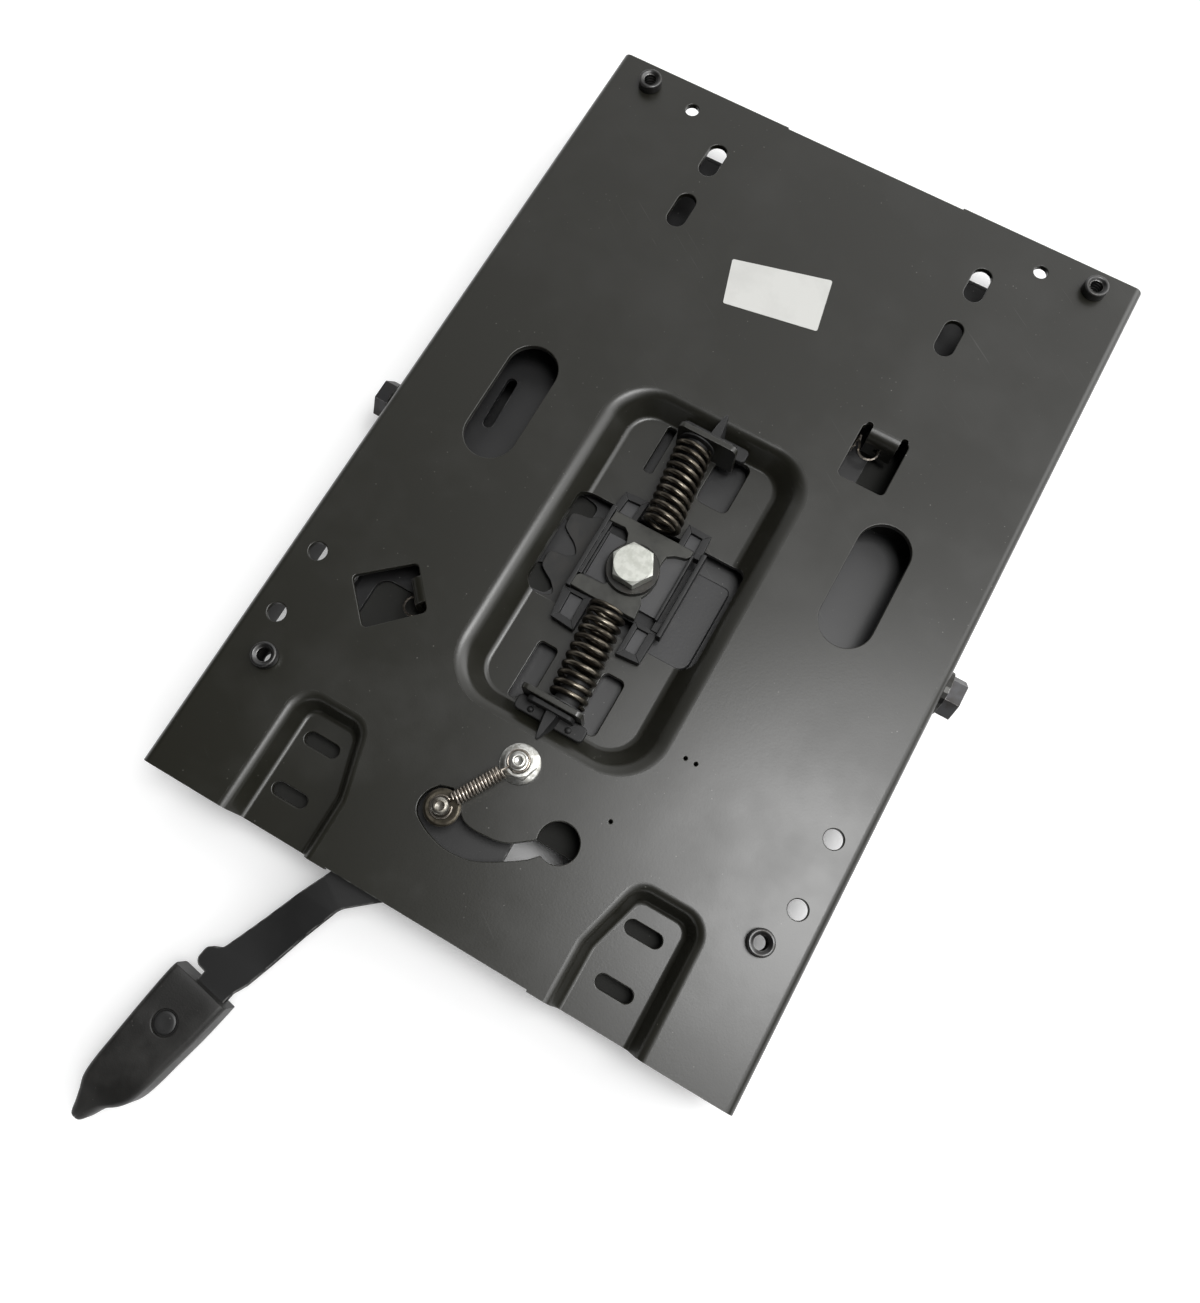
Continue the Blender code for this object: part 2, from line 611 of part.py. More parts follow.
def build_side_bolts(bolt_material, washer_material, nut_material):
    for side, word in ((1, "right"), (-1, "left")):
        face = PLATE_HALF_WIDTH
        z = SIDE_BOLT_Z
        y = SIDE_BOLT_Y

        def hex_x(bm, x0, x1, across):
            outline = hexagon(y, z, across)
            loft(bm, [[(side * x0, a, b) for a, b in outline], [(side * x1, a, b) for a, b in outline]])

        bm = bmesh.new()
        hex_x(bm, face + 2.9, face + 9.4, 16.4)
        bolt = raw_object("side_bolt_%s" % word, bm)
        bm = bmesh.new()
        turned(bm, [(side * (PLATE_INSIDE - 9.4), SIDE_BOLT_RADIUS), (side * (face + 5.0), SIDE_BOLT_RADIUS)],
               (0.0, y, z), "x", 20)
        combine(bolt, raw_object("shank", bm), "UNION")
        finish(bolt, bolt_material)

        bm = bmesh.new()
        turned(bm, [(side * (face + GAP), 10.2), (side * (face + 2.6), 10.2)], (0.0, y, z), "x", 24)
        washer = raw_object("side_washer_%s" % word, bm)
        bm = bmesh.new()
        turned(bm, [(side * (face - 5), SIDE_BORE), (side * (face + 9), SIDE_BORE)], (0.0, y, z), "x", 20)
        combine(washer, raw_object("bore", bm), "DIFFERENCE")
        finish(washer, washer_material)

        bm = bmesh.new()
        hex_x(bm, PLATE_INSIDE - GAP - SIDE_NUT_HEIGHT, PLATE_INSIDE - GAP, 16.0)
        nut = raw_object("side_nut_%s" % word, bm)
        bm = bmesh.new()
        turned(bm, [(side * (face - 18), SIDE_BORE), (side * (face + 3), SIDE_BORE)], (0.0, y, z), "x", 20)
        combine(nut, raw_object("bore", bm), "DIFFERENCE")
        finish(nut, nut_material)


def build_lower_frame(material):
    """A down-flanged plate with turned-in feet."""
    w = FRAME_HALF_WIDTH
    t = FRAME_THICKNESS
    corners = [(w, 0.0), (w, FRAME_TOP), (-w, FRAME_TOP), (-w, 0.0),
               (-w + FOOT_WIDTH, 0.0), (-w + FOOT_WIDTH, t), (-w + t, t), (-w + t, FRAME_TOP - t),
               (w - t, FRAME_TOP - t), (w - t, t), (w - FOOT_WIDTH, t), (w - FOOT_WIDTH, 0.0)]
    radii = [3, 4, 4, 3, 0, 0, 0.6, 1.5, 1.5, 0.6, 0, 0]
    bm = bmesh.new()
    extrude_y(bm, round_corners(corners, radii, 3), FRAME_FRONT, FRAME_REAR)
    frame = raw_object("lower_frame", bm)

    bm = bmesh.new()
    z0 = FRAME_TOP - 8.0
    z1 = FRAME_TOP + 7.0
    rear = FRAME_REAR - 62.0
    centre = (0.0, ISOLATOR_Y)
    prism(bm, circle(ISOLATOR_X, ISOLATOR_Y, CENTRE_BORE + 0.1, 20), z0, z1)
    notch_rear = PIVOT[1] + 25.0
    prism(bm, round_corners([(PIVOT[0] - 13.0, FRAME_FRONT - 8.0), (PIVOT[0] + 13.5, FRAME_FRONT - 8.0),
                             (PIVOT[0] + 13.5, notch_rear), (PIVOT[0] - 13.0, notch_rear)],
                            [0, 0, 6, 6], 4), z0, z1)
    prism(bm, obround(13.5 - w, ISOLATOR_Y + 36.0, 12.5 - w, ISOLATOR_Y + 59.0, 2.6, 6), z0, z1)
    prism(bm, round_corners([(w - 48.0, WINDOW_FRONT - 7.5), (w - 22.0, WINDOW_FRONT - 7.5),
                             (w - 22.0, WINDOW_REAR + 16.5), (w - 48.0, WINDOW_REAR + 16.5)], 6.0, 4), z0, z1)
    prism(bm, round_corners([(11.0 - w, ISOLATOR_Y - 96.0), (40.0 - w, ISOLATOR_Y - 96.0),
                             (40.0 - w, ISOLATOR_Y - 52.0), (11.0 - w, ISOLATOR_Y - 52.0)], 6.0, 4), z0, z1)
    for corners in ([(-45.0, 11.0), (-33.0, 13.0), (-32.0, 25.0), (-45.0, 27.0)],
                    [(-45.0, -24.0), (-31.0, -23.0), (-33.0, -13.0), (-45.0, -9.0)]):
        prism(bm, round_corners(around(centre, corners), 4.0, 4), z0, z1)
    prism(bm, obround(72.0 - w, rear, w - 72.0, rear, 16.0, 8), z0, z1)
    for side in (1, -1):
        x = side * (w - 11.0)
        for y in (FRAME_FRONT + 27.0, FRAME_REAR - 32.0):
            prism(bm, obround(x, y - 4.0, x, y + 4.0, 4.3, 6), -5, 5)
    combine(frame, raw_object("openings", bm), "DIFFERENCE")
    return finish(frame, material, 35)


def build_rails(material):
    """Outward-facing channels that the rollers run in."""
    for side, word in ((1, "right"), (-1, "left")):
        x0 = FRAME_HALF_WIDTH + GAP
        x1 = x0 + RAIL_DEPTH
        z0 = RAIL_BOTTOM
        z1 = RAIL_BOTTOM + RAIL_HEIGHT
        w = RAIL_WALL
        corners = [(x0, z0), (x1, z0), (x1, z0 + w), (x0 + w, z0 + w),
                   (x0 + w, z1 - w), (x1, z1 - w), (x1, z1), (x0, z1)]
        section = round_corners(corners, [1.6, 0, 0, 0.5, 0.5, 0, 0, 1.6], 3)
        if side < 0:
            section = mirrored(section)
        simple("guide_rail_%s" % word, lambda bm: extrude_y(bm, section, RAIL_FRONT, RAIL_REAR), material, 35)


def build_rollers(roller_material, axle_material):
    z = ROLLER_Z
    inner = FRAME_HALF_WIDTH + GAP + RAIL_WALL + 1.2
    for side, word_x in ((1, "right"), (-1, "left")):
        for y, word_y in zip(ROLLER_Y, ("rear", "front")):
            name = "%s_%s" % (word_x, word_y)
            bm = bmesh.new()
            turned(bm, [(side * inner, ROLLER_RADIUS - 0.6), (side * (inner + 0.6), ROLLER_RADIUS),
                        (side * (inner + ROLLER_WIDTH - 0.6), ROLLER_RADIUS),
                        (side * (inner + ROLLER_WIDTH), ROLLER_RADIUS - 0.6)], (0.0, y, z), "x", 24)
            roller = raw_object("roller_" + name, bm)
            bm = bmesh.new()
            turned(bm, [(side * (inner - 3), ROLLER_BORE), (side * (inner + ROLLER_WIDTH + 5), ROLLER_BORE)],
                   (0.0, y, z), "x", 16)
            combine(roller, raw_object("bore", bm), "DIFFERENCE")
            finish(roller, roller_material, 35)
            set_origin(roller, (side * (inner + ROLLER_WIDTH / 2), y, z))

            face = PLATE_HALF_WIDTH
            shoulder = inner + ROLLER_WIDTH + 0.5
            simple("axle_" + name, lambda bm: turned(
                bm, [(side * (inner - 0.4), ROLLER_BORE - 0.4), (side * shoulder, ROLLER_BORE - 0.3),
                     (side * shoulder, 5.0), (side * (PLATE_INSIDE - GAP), 5.0),
                     (side * (PLATE_INSIDE - GAP), 3.0), (side * (face + GAP), 3.0),
                     (side * (face + GAP), 5.6), (side * (face + 1.1), 5.2), (side * (face + 1.9), 3.4)],
                (0.0, y, z), "x", 16), axle_material, 35)


def helix(start, end, radius, coils, per_turn, closed=0.9):
    """Points of a coil along y, with its end turns closed up and its middle sheared sideways."""
    points = []
    total = coils * per_turn
    for i in range(total + 1):
        turn = i / per_turn
        share = i / total
        eased = share + 0.018 * math.sin(2 * math.pi * share) * -closed
        centre = [start[k] + (end[k] - start[k]) * eased for k in range(3)]
        angle = 2 * math.pi * turn
        points.append((centre[0] + radius * math.cos(angle), centre[1], centre[2] + radius * math.sin(angle)))
    return points


def build_isolator(plastic, steel, bolt_material, washer_material, nut_material):
    x = ISOLATOR_X
    y = ISOLATOR_Y
    top = PLATE_TOP
    body = [(-26.5, y - 22.5), (-24.0, y - 22.5), (-24.0, y - 35.0), (-12.8, y - 35.0), (-12.8, y - 20.0),
            (9.3, y - 20.0), (9.3, y - 35.0), (20.5, y - 35.0), (20.5, y - 22.5), (21.5, y - 22.5),
            (21.5, y + 22.5), (20.0, y + 22.5), (20.0, y + 34.0), (9.3, y + 34.0), (9.3, y + 20.0),
            (-12.8, y + 20.0), (-12.8, y + 34.0), (-23.5, y + 34.0), (-23.5, y + 22.5), (-26.5, y + 22.5)]
    bm = bmesh.new()
    prism(bm, body, RECESS_FLOOR_Z + 0.5, top - 2.5)
    block = raw_object("isolator_block", bm)
    bm = bmesh.new()
    box(bm, -19.0, 15.0, y - 12.0, y + 12.0, FRAME_TOP + GAP, RECESS_FLOOR_Z + 2.0)
    combine(block, raw_object("foot", bm), "UNION")
    bm = bmesh.new()
    box(bm, -30.0, 30.0, y - 40.0, y - 20.0, top - 5.8, top + 3.0)
    box(bm, -30.0, 30.0, y + 20.0, y + 40.0, top - 5.8, top + 3.0)
    combine(block, raw_object("steps", bm), "DIFFERENCE")
    bm = bmesh.new()
    for x0, x1, y0, y1 in ((-21.2, -15.6, y - 32.0, y - 25.0), (12.2, 17.6, y - 32.0, y - 25.0),
                           (-20.8, -15.6, y + 24.5, y + 31.2), (12.0, 17.2, y + 24.5, y + 31.2)):
        box(bm, x0, x1, y0, y1, top - 17.0, top + 3.0)
    box(bm, -23.6, -15.2, y - 15.0, y + 16.5, top - 8.0, top + 3.0)
    box(bm, 11.8, 18.4, y - 15.0, y + 16.5, top - 8.0, top + 3.0)
    box(bm, -14.0, 10.5, y - 18.3, y + 18.3, top - 6.0, top + 3.0)
    combine(block, raw_object("hollows", bm), "DIFFERENCE")
    bm = bmesh.new()
    prism(bm, circle(x, y, CENTRE_BORE, 20), FRAME_TOP - 3.0, top + 3.0)
    combine(block, raw_object("bore", bm), "DIFFERENCE")
    finish(block, plastic)

    z0 = top - 5.7
    bm = bmesh.new()
    box(bm, -13.5, 10.0, y - 18.0, y + 18.0, z0, z0 + 3.0)
    bar = raw_object("cross_bar", bm)
    bm = bmesh.new()
    prism(bm, circle(x, y, CENTRE_BORE, 20), top - 12.0, top)
    combine(bar, raw_object("bore", bm), "DIFFERENCE")
    finish(bar, steel)

    bm = bmesh.new()
    turned(bm, [(top - 2.4, 11.6), (top - 0.4, 11.6)], (x, y, 0.0), "z", 28)
    washer = raw_object("centre_washer", bm)
    bm = bmesh.new()
    prism(bm, circle(x, y, CENTRE_BORE, 20), top - 7.0, top + 3.0)
    combine(washer, raw_object("bore", bm), "DIFFERENCE")
    finish(washer, washer_material, 35)

    bm = bmesh.new()
    prism(bm, hexagon(x, y, CENTRE_FLATS, math.radians(-3)), top - 0.1, top + 7.4)
    bolt = raw_object("centre_bolt", bm)
    bm = bmesh.new()
    low = FRAME_TOP - 15.5
    turned(bm, [(low, CENTRE_BOLT_RADIUS - 0.4), (low + 0.9, CENTRE_BOLT_RADIUS),
                (top + 1.0, CENTRE_BOLT_RADIUS)], (x, y, 0.0), "z", 20)
    combine(bolt, raw_object("shank", bm), "UNION")
    finish(bolt, bolt_material, 35)

    bm = bmesh.new()
    prism(bm, hexagon(x, y, CENTRE_FLATS, 0.3), FRAME_TOP - 12.8, FRAME_TOP - FRAME_THICKNESS - GAP)
    nut = raw_object("centre_nut", bm)
    bm = bmesh.new()
    prism(bm, circle(x, y, CENTRE_BOLT_RADIUS + 0.35, 20), FRAME_TOP - 18.0, FRAME_TOP + 2.0)
    combine(nut, raw_object("bore", bm), "DIFFERENCE")
    finish(nut, nut_material)


SPRING_NEAR = 19.9
SPRING_FAR = TAB_FACE - 2.6
REAR_SPRING = ((-0.7, ISOLATOR_Y + SPRING_NEAR, SPRING_AXIS), (-5.5, ISOLATOR_Y + SPRING_FAR, SPRING_AXIS))
FRONT_SPRING = ((-1.9, ISOLATOR_Y - SPRING_NEAR, SPRING_AXIS), (2.6, ISOLATOR_Y - SPRING_FAR, SPRING_AXIS))


def build_springs(material):
    mean = SPRING_RADIUS - SPRING_WIRE / 2
    for name, ends in (("spring_rear", REAR_SPRING), ("spring_front", FRONT_SPRING)):
        path = helix(ends[0], ends[1], mean, SPRING_COILS, 14)
        simple(name, lambda bm: swept(bm, path, SPRING_WIRE / 2, 6), material, 40)


def build_guides(material):
    """Moulded spring guides: a spigot and flange inside the lug, a base and a tongue outside it."""
    for name, sign, spigot_x, neck_x in (("spring_guide_rear", 1, REAR_SPRING[1][0], GUIDE_NECKS[0]),
                                         ("spring_guide_front", -1, FRONT_SPRING[1][0], GUIDE_NECKS[1])):
        face = ISOLATOR_Y + sign * TAB_FACE
        out = face + sign * (PLATE_THICKNESS + GAP)
        rim = ISOLATOR_Y + sign * (RECESS_HALF_Y + 1.0)
        bm = bmesh.new()
        turned(bm, [(face - sign * 1.1, 8.4), (face - sign * GAP, 8.4)],
               (spigot_x, 0.0, SPRING_AXIS), "y", 24)
        guide = raw_object(name, bm)
        for draw in (
                lambda b: turned(b, [(face - sign * 14.0, 5.2), (face - sign * 1.0, 5.7)],
                                 (spigot_x, 0.0, SPRING_AXIS), "y", 20),
                lambda b: turned(b, [(face - sign * 1.2, 3.6), (out + sign * 1.2, 3.6)],
                                 (neck_x, 0.0, SPRING_AXIS), "y", 16),
                lambda b: box(b, -11.0, 9.0, min(out, out + sign * 2.2), max(out, out + sign * 2.2),
                              RECESS_FLOOR_Z + 2.0, PLATE_TOP + 5.5),
                lambda b: box(b, -GUIDE_HALF_WIDTH, GUIDE_HALF_WIDTH, min(out, out + sign * GUIDE_DEPTH),
                              max(out, out + sign * GUIDE_DEPTH), RECESS_FLOOR_Z + 4.2, PLATE_TOP - 4.0)):
            tool = bmesh.new()
            draw(tool)
            combine(guide, raw_object("piece", tool), "UNION")
        tool = bmesh.new()
        rings = []
        for y, half, z0, z1 in ((out + sign * 1.0, 4.2, -5.0, 2.6),
                                (out + sign * (GUIDE_DEPTH - 1.0), 2.8, -4.4, 2.8), (rim, 0.6, 1.6, 2.8)):
            rings.append([(-half, y, PLATE_TOP + z0), (half, y, PLATE_TOP + z0),
                          (half, y, PLATE_TOP + z1), (-half, y, PLATE_TOP + z1)])
        loft(tool, rings)
        combine(guide, raw_object("tongue", tool), "UNION")
        finish(guide, material, 35)


def extension_coil(start, end, radius, coils, loop, reach, per_turn):
    """An extension spring between two studs, with a loop round each of them."""
    a = Vector(start)
    b = Vector(end)
    along = (b - a).normalized()
    side = Vector((-along.y, along.x, 0.0)).normalized()
    up = Vector((0.0, 0.0, 1.0))
    path = []
    for i in range(9):
        angle = math.radians(-150 + 150 * i / 8)
        path.append(a + along * (loop * math.cos(angle)) + side * (loop * math.sin(angle)))
    first = a + along * reach[0]
    last = b - along * reach[1]
    total = coils * per_turn
    for i in range(total + 1):
        angle = 2 * math.pi * i / per_turn
        centre = first.lerp(last, i / total)
        path.append(centre + side * (radius * math.sin(angle)) + up * (radius * math.cos(angle)))
    for i in range(9):
        angle = math.radians(180 - 150 * i / 8)
        path.append(b + along * (loop * math.cos(angle)) - side * (loop * math.sin(angle)))
    return path


def hooked_coil(hook, along, inward, length, radius, coils, per_turn=8):
    """A spring beside a window lug: a loop on its post, the coil, and a hook through the lug.

    hook is the point of the lug's middle plane beside the hook's centre, along runs from the
    post to the hook, and inward points from the lug into the window.
    """
    def place(s, w, z):
        return (hook[0] + along[0] * s + inward[0] * w, hook[1] + along[1] * s + inward[1] * w, z)

    z = RETURN_SPRING_Z
    loop = POST_RADIUS + 0.75
    path = []
    for i in range(9):
        angle = math.radians(200 - 200 * i / 8)
        path.append(place(-length + loop * math.cos(angle), POST_OFFSET + loop * math.sin(angle), z))
    total = coils * per_turn
    for i in range(total + 1):
        angle = 2 * math.pi * i / per_turn
        s = -length + 5.0 + (length - 10.8) * i / total
        path.append(place(s, POST_OFFSET + radius * math.sin(angle), z + radius * math.cos(angle)))
    for i in range(13):
        angle = math.radians(180 - 260 * i / 12)
        path.append(place(4.5 * math.cos(angle), 2.2 + 4.5 * math.sin(angle), z))
    return path


# the arm and its grip, from the pivot
ARM_OUTLINE = [(-9.0, 8.5), (9.0, 8.5), (12.5, 0.0), (11.5, -12.0), (11.5, -42.0), (-5.5, -62.0),
               (-25.5, -77.5), (-36.5, -86.5), (-43.5, -103.5), (-50.0, -121.5), (-53.5, -131.0),
               (-56.7, -136.3), (-60.2, -153.0), (-73.4, -149.5), (-70.1, -134.2), (-76.1, -132.8),
               (-75.1, -126.0), (-69.1, -123.6), (-61.0, -106.0), (-53.3, -89.0), (-47.5, -77.5),
               (-29.5, -39.0), (-24.0, -20.0), (-13.0, 0.0)]
ARM_RADII = [6, 6, 6, 10, 8, 10, 12, 10, 30, 30, 0, 0, 3, 3, 0, 3, 3, 4, 30, 30, 40, 12, 14, 8]

GRIP_TOP = [(-53.1, -140.6), (-57.1, -155.0), (-62.7, -175.0), (-63.5, -183.6), (-70.5, -190.6),
            (-76.7, -197.0), (-80.1, -205.2), (-83.5, -207.0), (-87.1, -203.0), (-87.7, -196.0),
            (-90.1, -188.0), (-89.9, -179.0), (-85.7, -158.0), (-80.5, -135.6), (-78.1, -134.6),
            (-66.5, -137.2)]


GRIP_MIDDLE = (-72.0, -168.0)
GRIP_TAPER_START = -176.0
BUTTON = (-69.1, -157.6)
BUTTON_RADIUS = 4.4


def lever_drop(x, y):
    """How far the arm has dropped below its flat part."""
    distance = math.hypot(x - PIVOT[0], y - PIVOT[1])
    return max(0.0, min(1.0, (distance - 92.0) / 40.0)) * LEVER_DROP


def build_lever(arm_material, grip_material, button_material):
    bm = bmesh.new()
    prism(bm, around(PIVOT, round_corners(ARM_OUTLINE, ARM_RADII, 4)), LEVER_BOTTOM, LEVER_TOP)
    arm = raw_object("lever_arm", bm)
    bm = bmesh.new()
    prism(bm, circle(PIVOT[0], PIVOT[1], PIVOT_BORE, 20), LEVER_BOTTOM - 10, LEVER_TOP + 6)
    prism(bm, circle(PIN[0], PIN[1], PIN_RADIUS + GAP, 16), LEVER_BOTTOM - 10, LEVER_TOP + 6)
    combine(arm, raw_object("bores", bm), "DIFFERENCE")
    bm = bmesh.new()
    bm.from_mesh(arm.data)
    bmesh.ops.triangulate(bm, faces=bm.faces)
    for distance in (92.0, 102.0, 112.0, 122.0, 132.0):
        heading = Vector((-0.46, -0.888, 0.0)).normalized()
        geometry = bm.verts[:] + bm.edges[:] + bm.faces[:]
        bmesh.ops.bisect_plane(bm, geom=geometry, dist=0.001,
                               plane_co=Vector((PIVOT[0], PIVOT[1], 0.0)) + heading * distance,
                               plane_no=heading)
    for vert in bm.verts:
        vert.co.z -= lever_drop(vert.co.x, vert.co.y)
    bm.to_mesh(arm.data)
    bm.free()
    finish(arm, arm_material, 25)
    set_origin(arm, (PIVOT[0], PIVOT[1], LEVER_TOP))

    middle = Vector(GRIP_MIDDLE)

    def grip_ring(share, z_flat, z_tip):
        ring = []
        for px, py in GRIP_TOP:
            tip = max(0.0, min(1.0, (GRIP_TAPER_START - py) / 30.0))
            ring.append((PIVOT[0] + middle.x + (px - middle.x) * share,
                         PIVOT[1] + middle.y + (py - middle.y) * share,
                         LEVER_TOP + z_flat + (z_tip - z_flat) * tip * tip))
        return ring

    bm = bmesh.new()
    loft(bm, [grip_ring(0.93, -12.0, -17.4), grip_ring(0.985, -10.8, -16.8), grip_ring(1.0, -8.6, -15.8),
              grip_ring(1.0, -1.6, -12.4), grip_ring(0.985, 0.4, -11.2), grip_ring(0.93, 1.6, -10.2)])
    grip = raw_object("handle_grip", bm)
    bm = bmesh.new()
    pocket = around(PIVOT, [(-56.1, -134.0), (-59.5, -153.8), (-74.1, -150.2), (-70.7, -132.0)])
    prism(bm, list(reversed(pocket)), LEVER_BOTTOM - LEVER_DROP - GAP, LEVER_TOP - LEVER_DROP + GAP)
    combine(grip, raw_object("pocket", bm), "DIFFERENCE")
    bm = bmesh.new()
    x, y = around(PIVOT, [BUTTON])[0]
    prism(bm, circle(x, y, BUTTON_RADIUS + GAP, 20), LEVER_TOP - 1.0, LEVER_TOP + 6.4)
    combine(grip, raw_object("seat", bm), "DIFFERENCE")
    finish(grip, grip_material, 30)

    profile = [(-0.7, BUTTON_RADIUS), (2.0, BUTTON_RADIUS), (2.9, BUTTON_RADIUS - 0.8),
               (3.3, BUTTON_RADIUS - 2.5)]
    simple("handle_button", lambda b: turned(b, profile, (x, y, LEVER_TOP), "z", 20), button_material, 35)


def build_lever_hardware(steel, zinc, washer_material, spacer_material, wire):
    x, y = PIVOT
    bm = bmesh.new()
    low = LEVER_BOTTOM
    top = PLATE_TOP
    turned(bm, [(low - 6.2, 7.4), (low - 5.2, 8.4), (low - GAP, 8.4), (low - GAP, PIVOT_RADIUS),
                (top + 2.0, PIVOT_RADIUS), (top + 2.0, STUD_RADIUS), (top + 10.6, STUD_RADIUS),
                (top + 11.4, STUD_RADIUS - 0.7)], (x, y, 0.0), "z", 24)
    finish(raw_object("pivot_bolt", bm), steel, 35)

    for name, z0, z1, radius, material in (
            ("pivot_spacer", LEVER_TOP + GAP, PLATE_TOP - PLATE_THICKNESS - GAP, 8.5, spacer_material),
            ("pivot_washer", PLATE_TOP + GAP, PLATE_TOP + 1.9, 8.6, washer_material)):
        bm = bmesh.new()
        turned(bm, [(z0, radius), (z1, radius)], (x, y, 0.0), "z", 28)
        ring = raw_object(name, bm)
        bm = bmesh.new()
        prism(bm, circle(x, y, PIVOT_BORE + 0.05, 20), LEVER_TOP - 8, top + 13)
        combine(ring, raw_object("bore", bm), "DIFFERENCE")
        finish(ring, material, 35)

    bm = bmesh.new()
    prism(bm, hexagon(x, y, 12.6, 0.2), PLATE_TOP + 2.4, PLATE_TOP + 6.6)
    nut = raw_object("pivot_nut", bm)
    bm = bmesh.new()
    prism(bm, circle(x, y, STUD_RADIUS + 0.35, 20), top - 2, top + 18)
    combine(nut, raw_object("bore", bm), "DIFFERENCE")
    bm = bmesh.new()
    prism(bm, circle(x, y, PIVOT_BORE + 0.05, 20), top - 2, top + 2.41)
    combine(nut, raw_object("relief", bm), "DIFFERENCE")
    finish(nut, zinc)

    bm = bmesh.new()
    turned(bm, [(low - 1.2, 4.6), (low - 0.4, 5.0), (low - GAP, 5.0), (low - GAP, PIN_RADIUS),
                (top + 0.4, PIN_RADIUS), (top + 0.4, 7.8), (top + 2.2, 7.8), (top + 2.6, 7.3),
                (top + 2.6, STUD_RADIUS), (top + 8.8, STUD_RADIUS), (top + 9.4, STUD_RADIUS - 0.6)],
           (PIN[0], PIN[1], 0.0), "z", 24)
    finish(raw_object("lever_pin", bm), steel, 35)

    path = extension_coil((x, y, top + 8.6), (PIN[0], PIN[1], top + 6.6), 2.75, 14, STUD_RADIUS + 0.7,
                          (8.2, 6.2), 8)
    simple("lever_spring", lambda b: swept(b, path, 0.5, 5), wire, 40)


def build_return_springs(material):
    """The two light springs that hook on the window lugs, mostly hidden under the plate."""
    right = hooked_coil(RIGHT_HOOK, (1.0, 0.0), (0.0, -1.0), RIGHT_HOOK_LENGTH, 4.0, 13)
    simple("return_spring_right", lambda b: swept(b, right, 0.6, 5), material, 40)
    inward = (-LEFT_HEADING[1], LEFT_HEADING[0])
    left = hooked_coil(LEFT_HOOK, LEFT_HEADING, inward, LEFT_HOOK_LENGTH, 4.0, 9)
    simple("return_spring_left", lambda b: swept(b, left, 0.6, 5), material, 40)


def main():
    clear_scene()
    black_sheet = make_material("satin_black_sheet", (0.030, 0.030, 0.031), 0.35, 0.42)
    black_frame = make_material("black_frame_steel", (0.045, 0.045, 0.046), 0.4, 0.45)
    rail_steel = make_material("dark_rail_steel", (0.06, 0.06, 0.062), 0.7, 0.4)
    collar_steel = make_material("black_collar_steel", (0.05, 0.05, 0.05), 0.8, 0.35)
    bolt_black = make_material("black_bolt_steel", (0.035, 0.035, 0.036), 0.8, 0.4)
    zinc = make_material("bright_zinc", (0.72, 0.73, 0.70), 0.9, 0.35)
    zinc_flange = make_material("zinc_flange", (0.6, 0.61, 0.59), 0.9, 0.35)
    nut_steel = make_material("nut_steel", (0.35, 0.35, 0.34), 0.9, 0.4)
    roller_plastic = make_material("roller_plastic", (0.75, 0.74, 0.70), 0.0, 0.5)
    axle_steel = make_material("axle_steel", (0.12, 0.12, 0.12), 0.9, 0.4)
    block_plastic = make_material("block_plastic", (0.018, 0.018, 0.019), 0.0, 0.45)
    bar_steel = make_material("grey_bar_steel", (0.08, 0.08, 0.078), 0.6, 0.5)
    spring_steel = make_material("spring_steel", (0.10, 0.085, 0.065), 0.9, 0.35)
    wire_steel = make_material("wire_steel", (0.22, 0.20, 0.18), 0.9, 0.35)
    grip_plastic = make_material("grip_plastic", (0.022, 0.021, 0.020), 0.0, 0.55)
    pin_steel = make_material("pin_steel", (0.14, 0.135, 0.125), 0.85, 0.4)

    build_top_plate(black_sheet)
    build_collars(collar_steel)
    build_side_bolts(bolt_black, axle_steel, nut_steel)
    build_lower_frame(black_frame)
    build_rails(rail_steel)
    build_rollers(roller_plastic, axle_steel)
    build_isolator(block_plastic, bar_steel, zinc, zinc_flange, nut_steel)
    build_springs(spring_steel)
    build_guides(block_plastic)
    build_lever(black_sheet, grip_plastic, bolt_black)
    build_lever_hardware(pin_steel, zinc, zinc_flange, nut_steel, wire_steel)
    build_return_springs(wire_steel)


main()
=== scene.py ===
"""Dressing of a seat slide: a flanged tray on rollers, its sprung isolator and the lock-out lever.

Lengths in the drawing functions are millimetres from the middle of the tray (x to the right,
y to the rear) and from the feet (z up); to_frame turns them into the frame's metres.
"""

import math

import bmesh
import bpy
from mathutils import Matrix, Vector


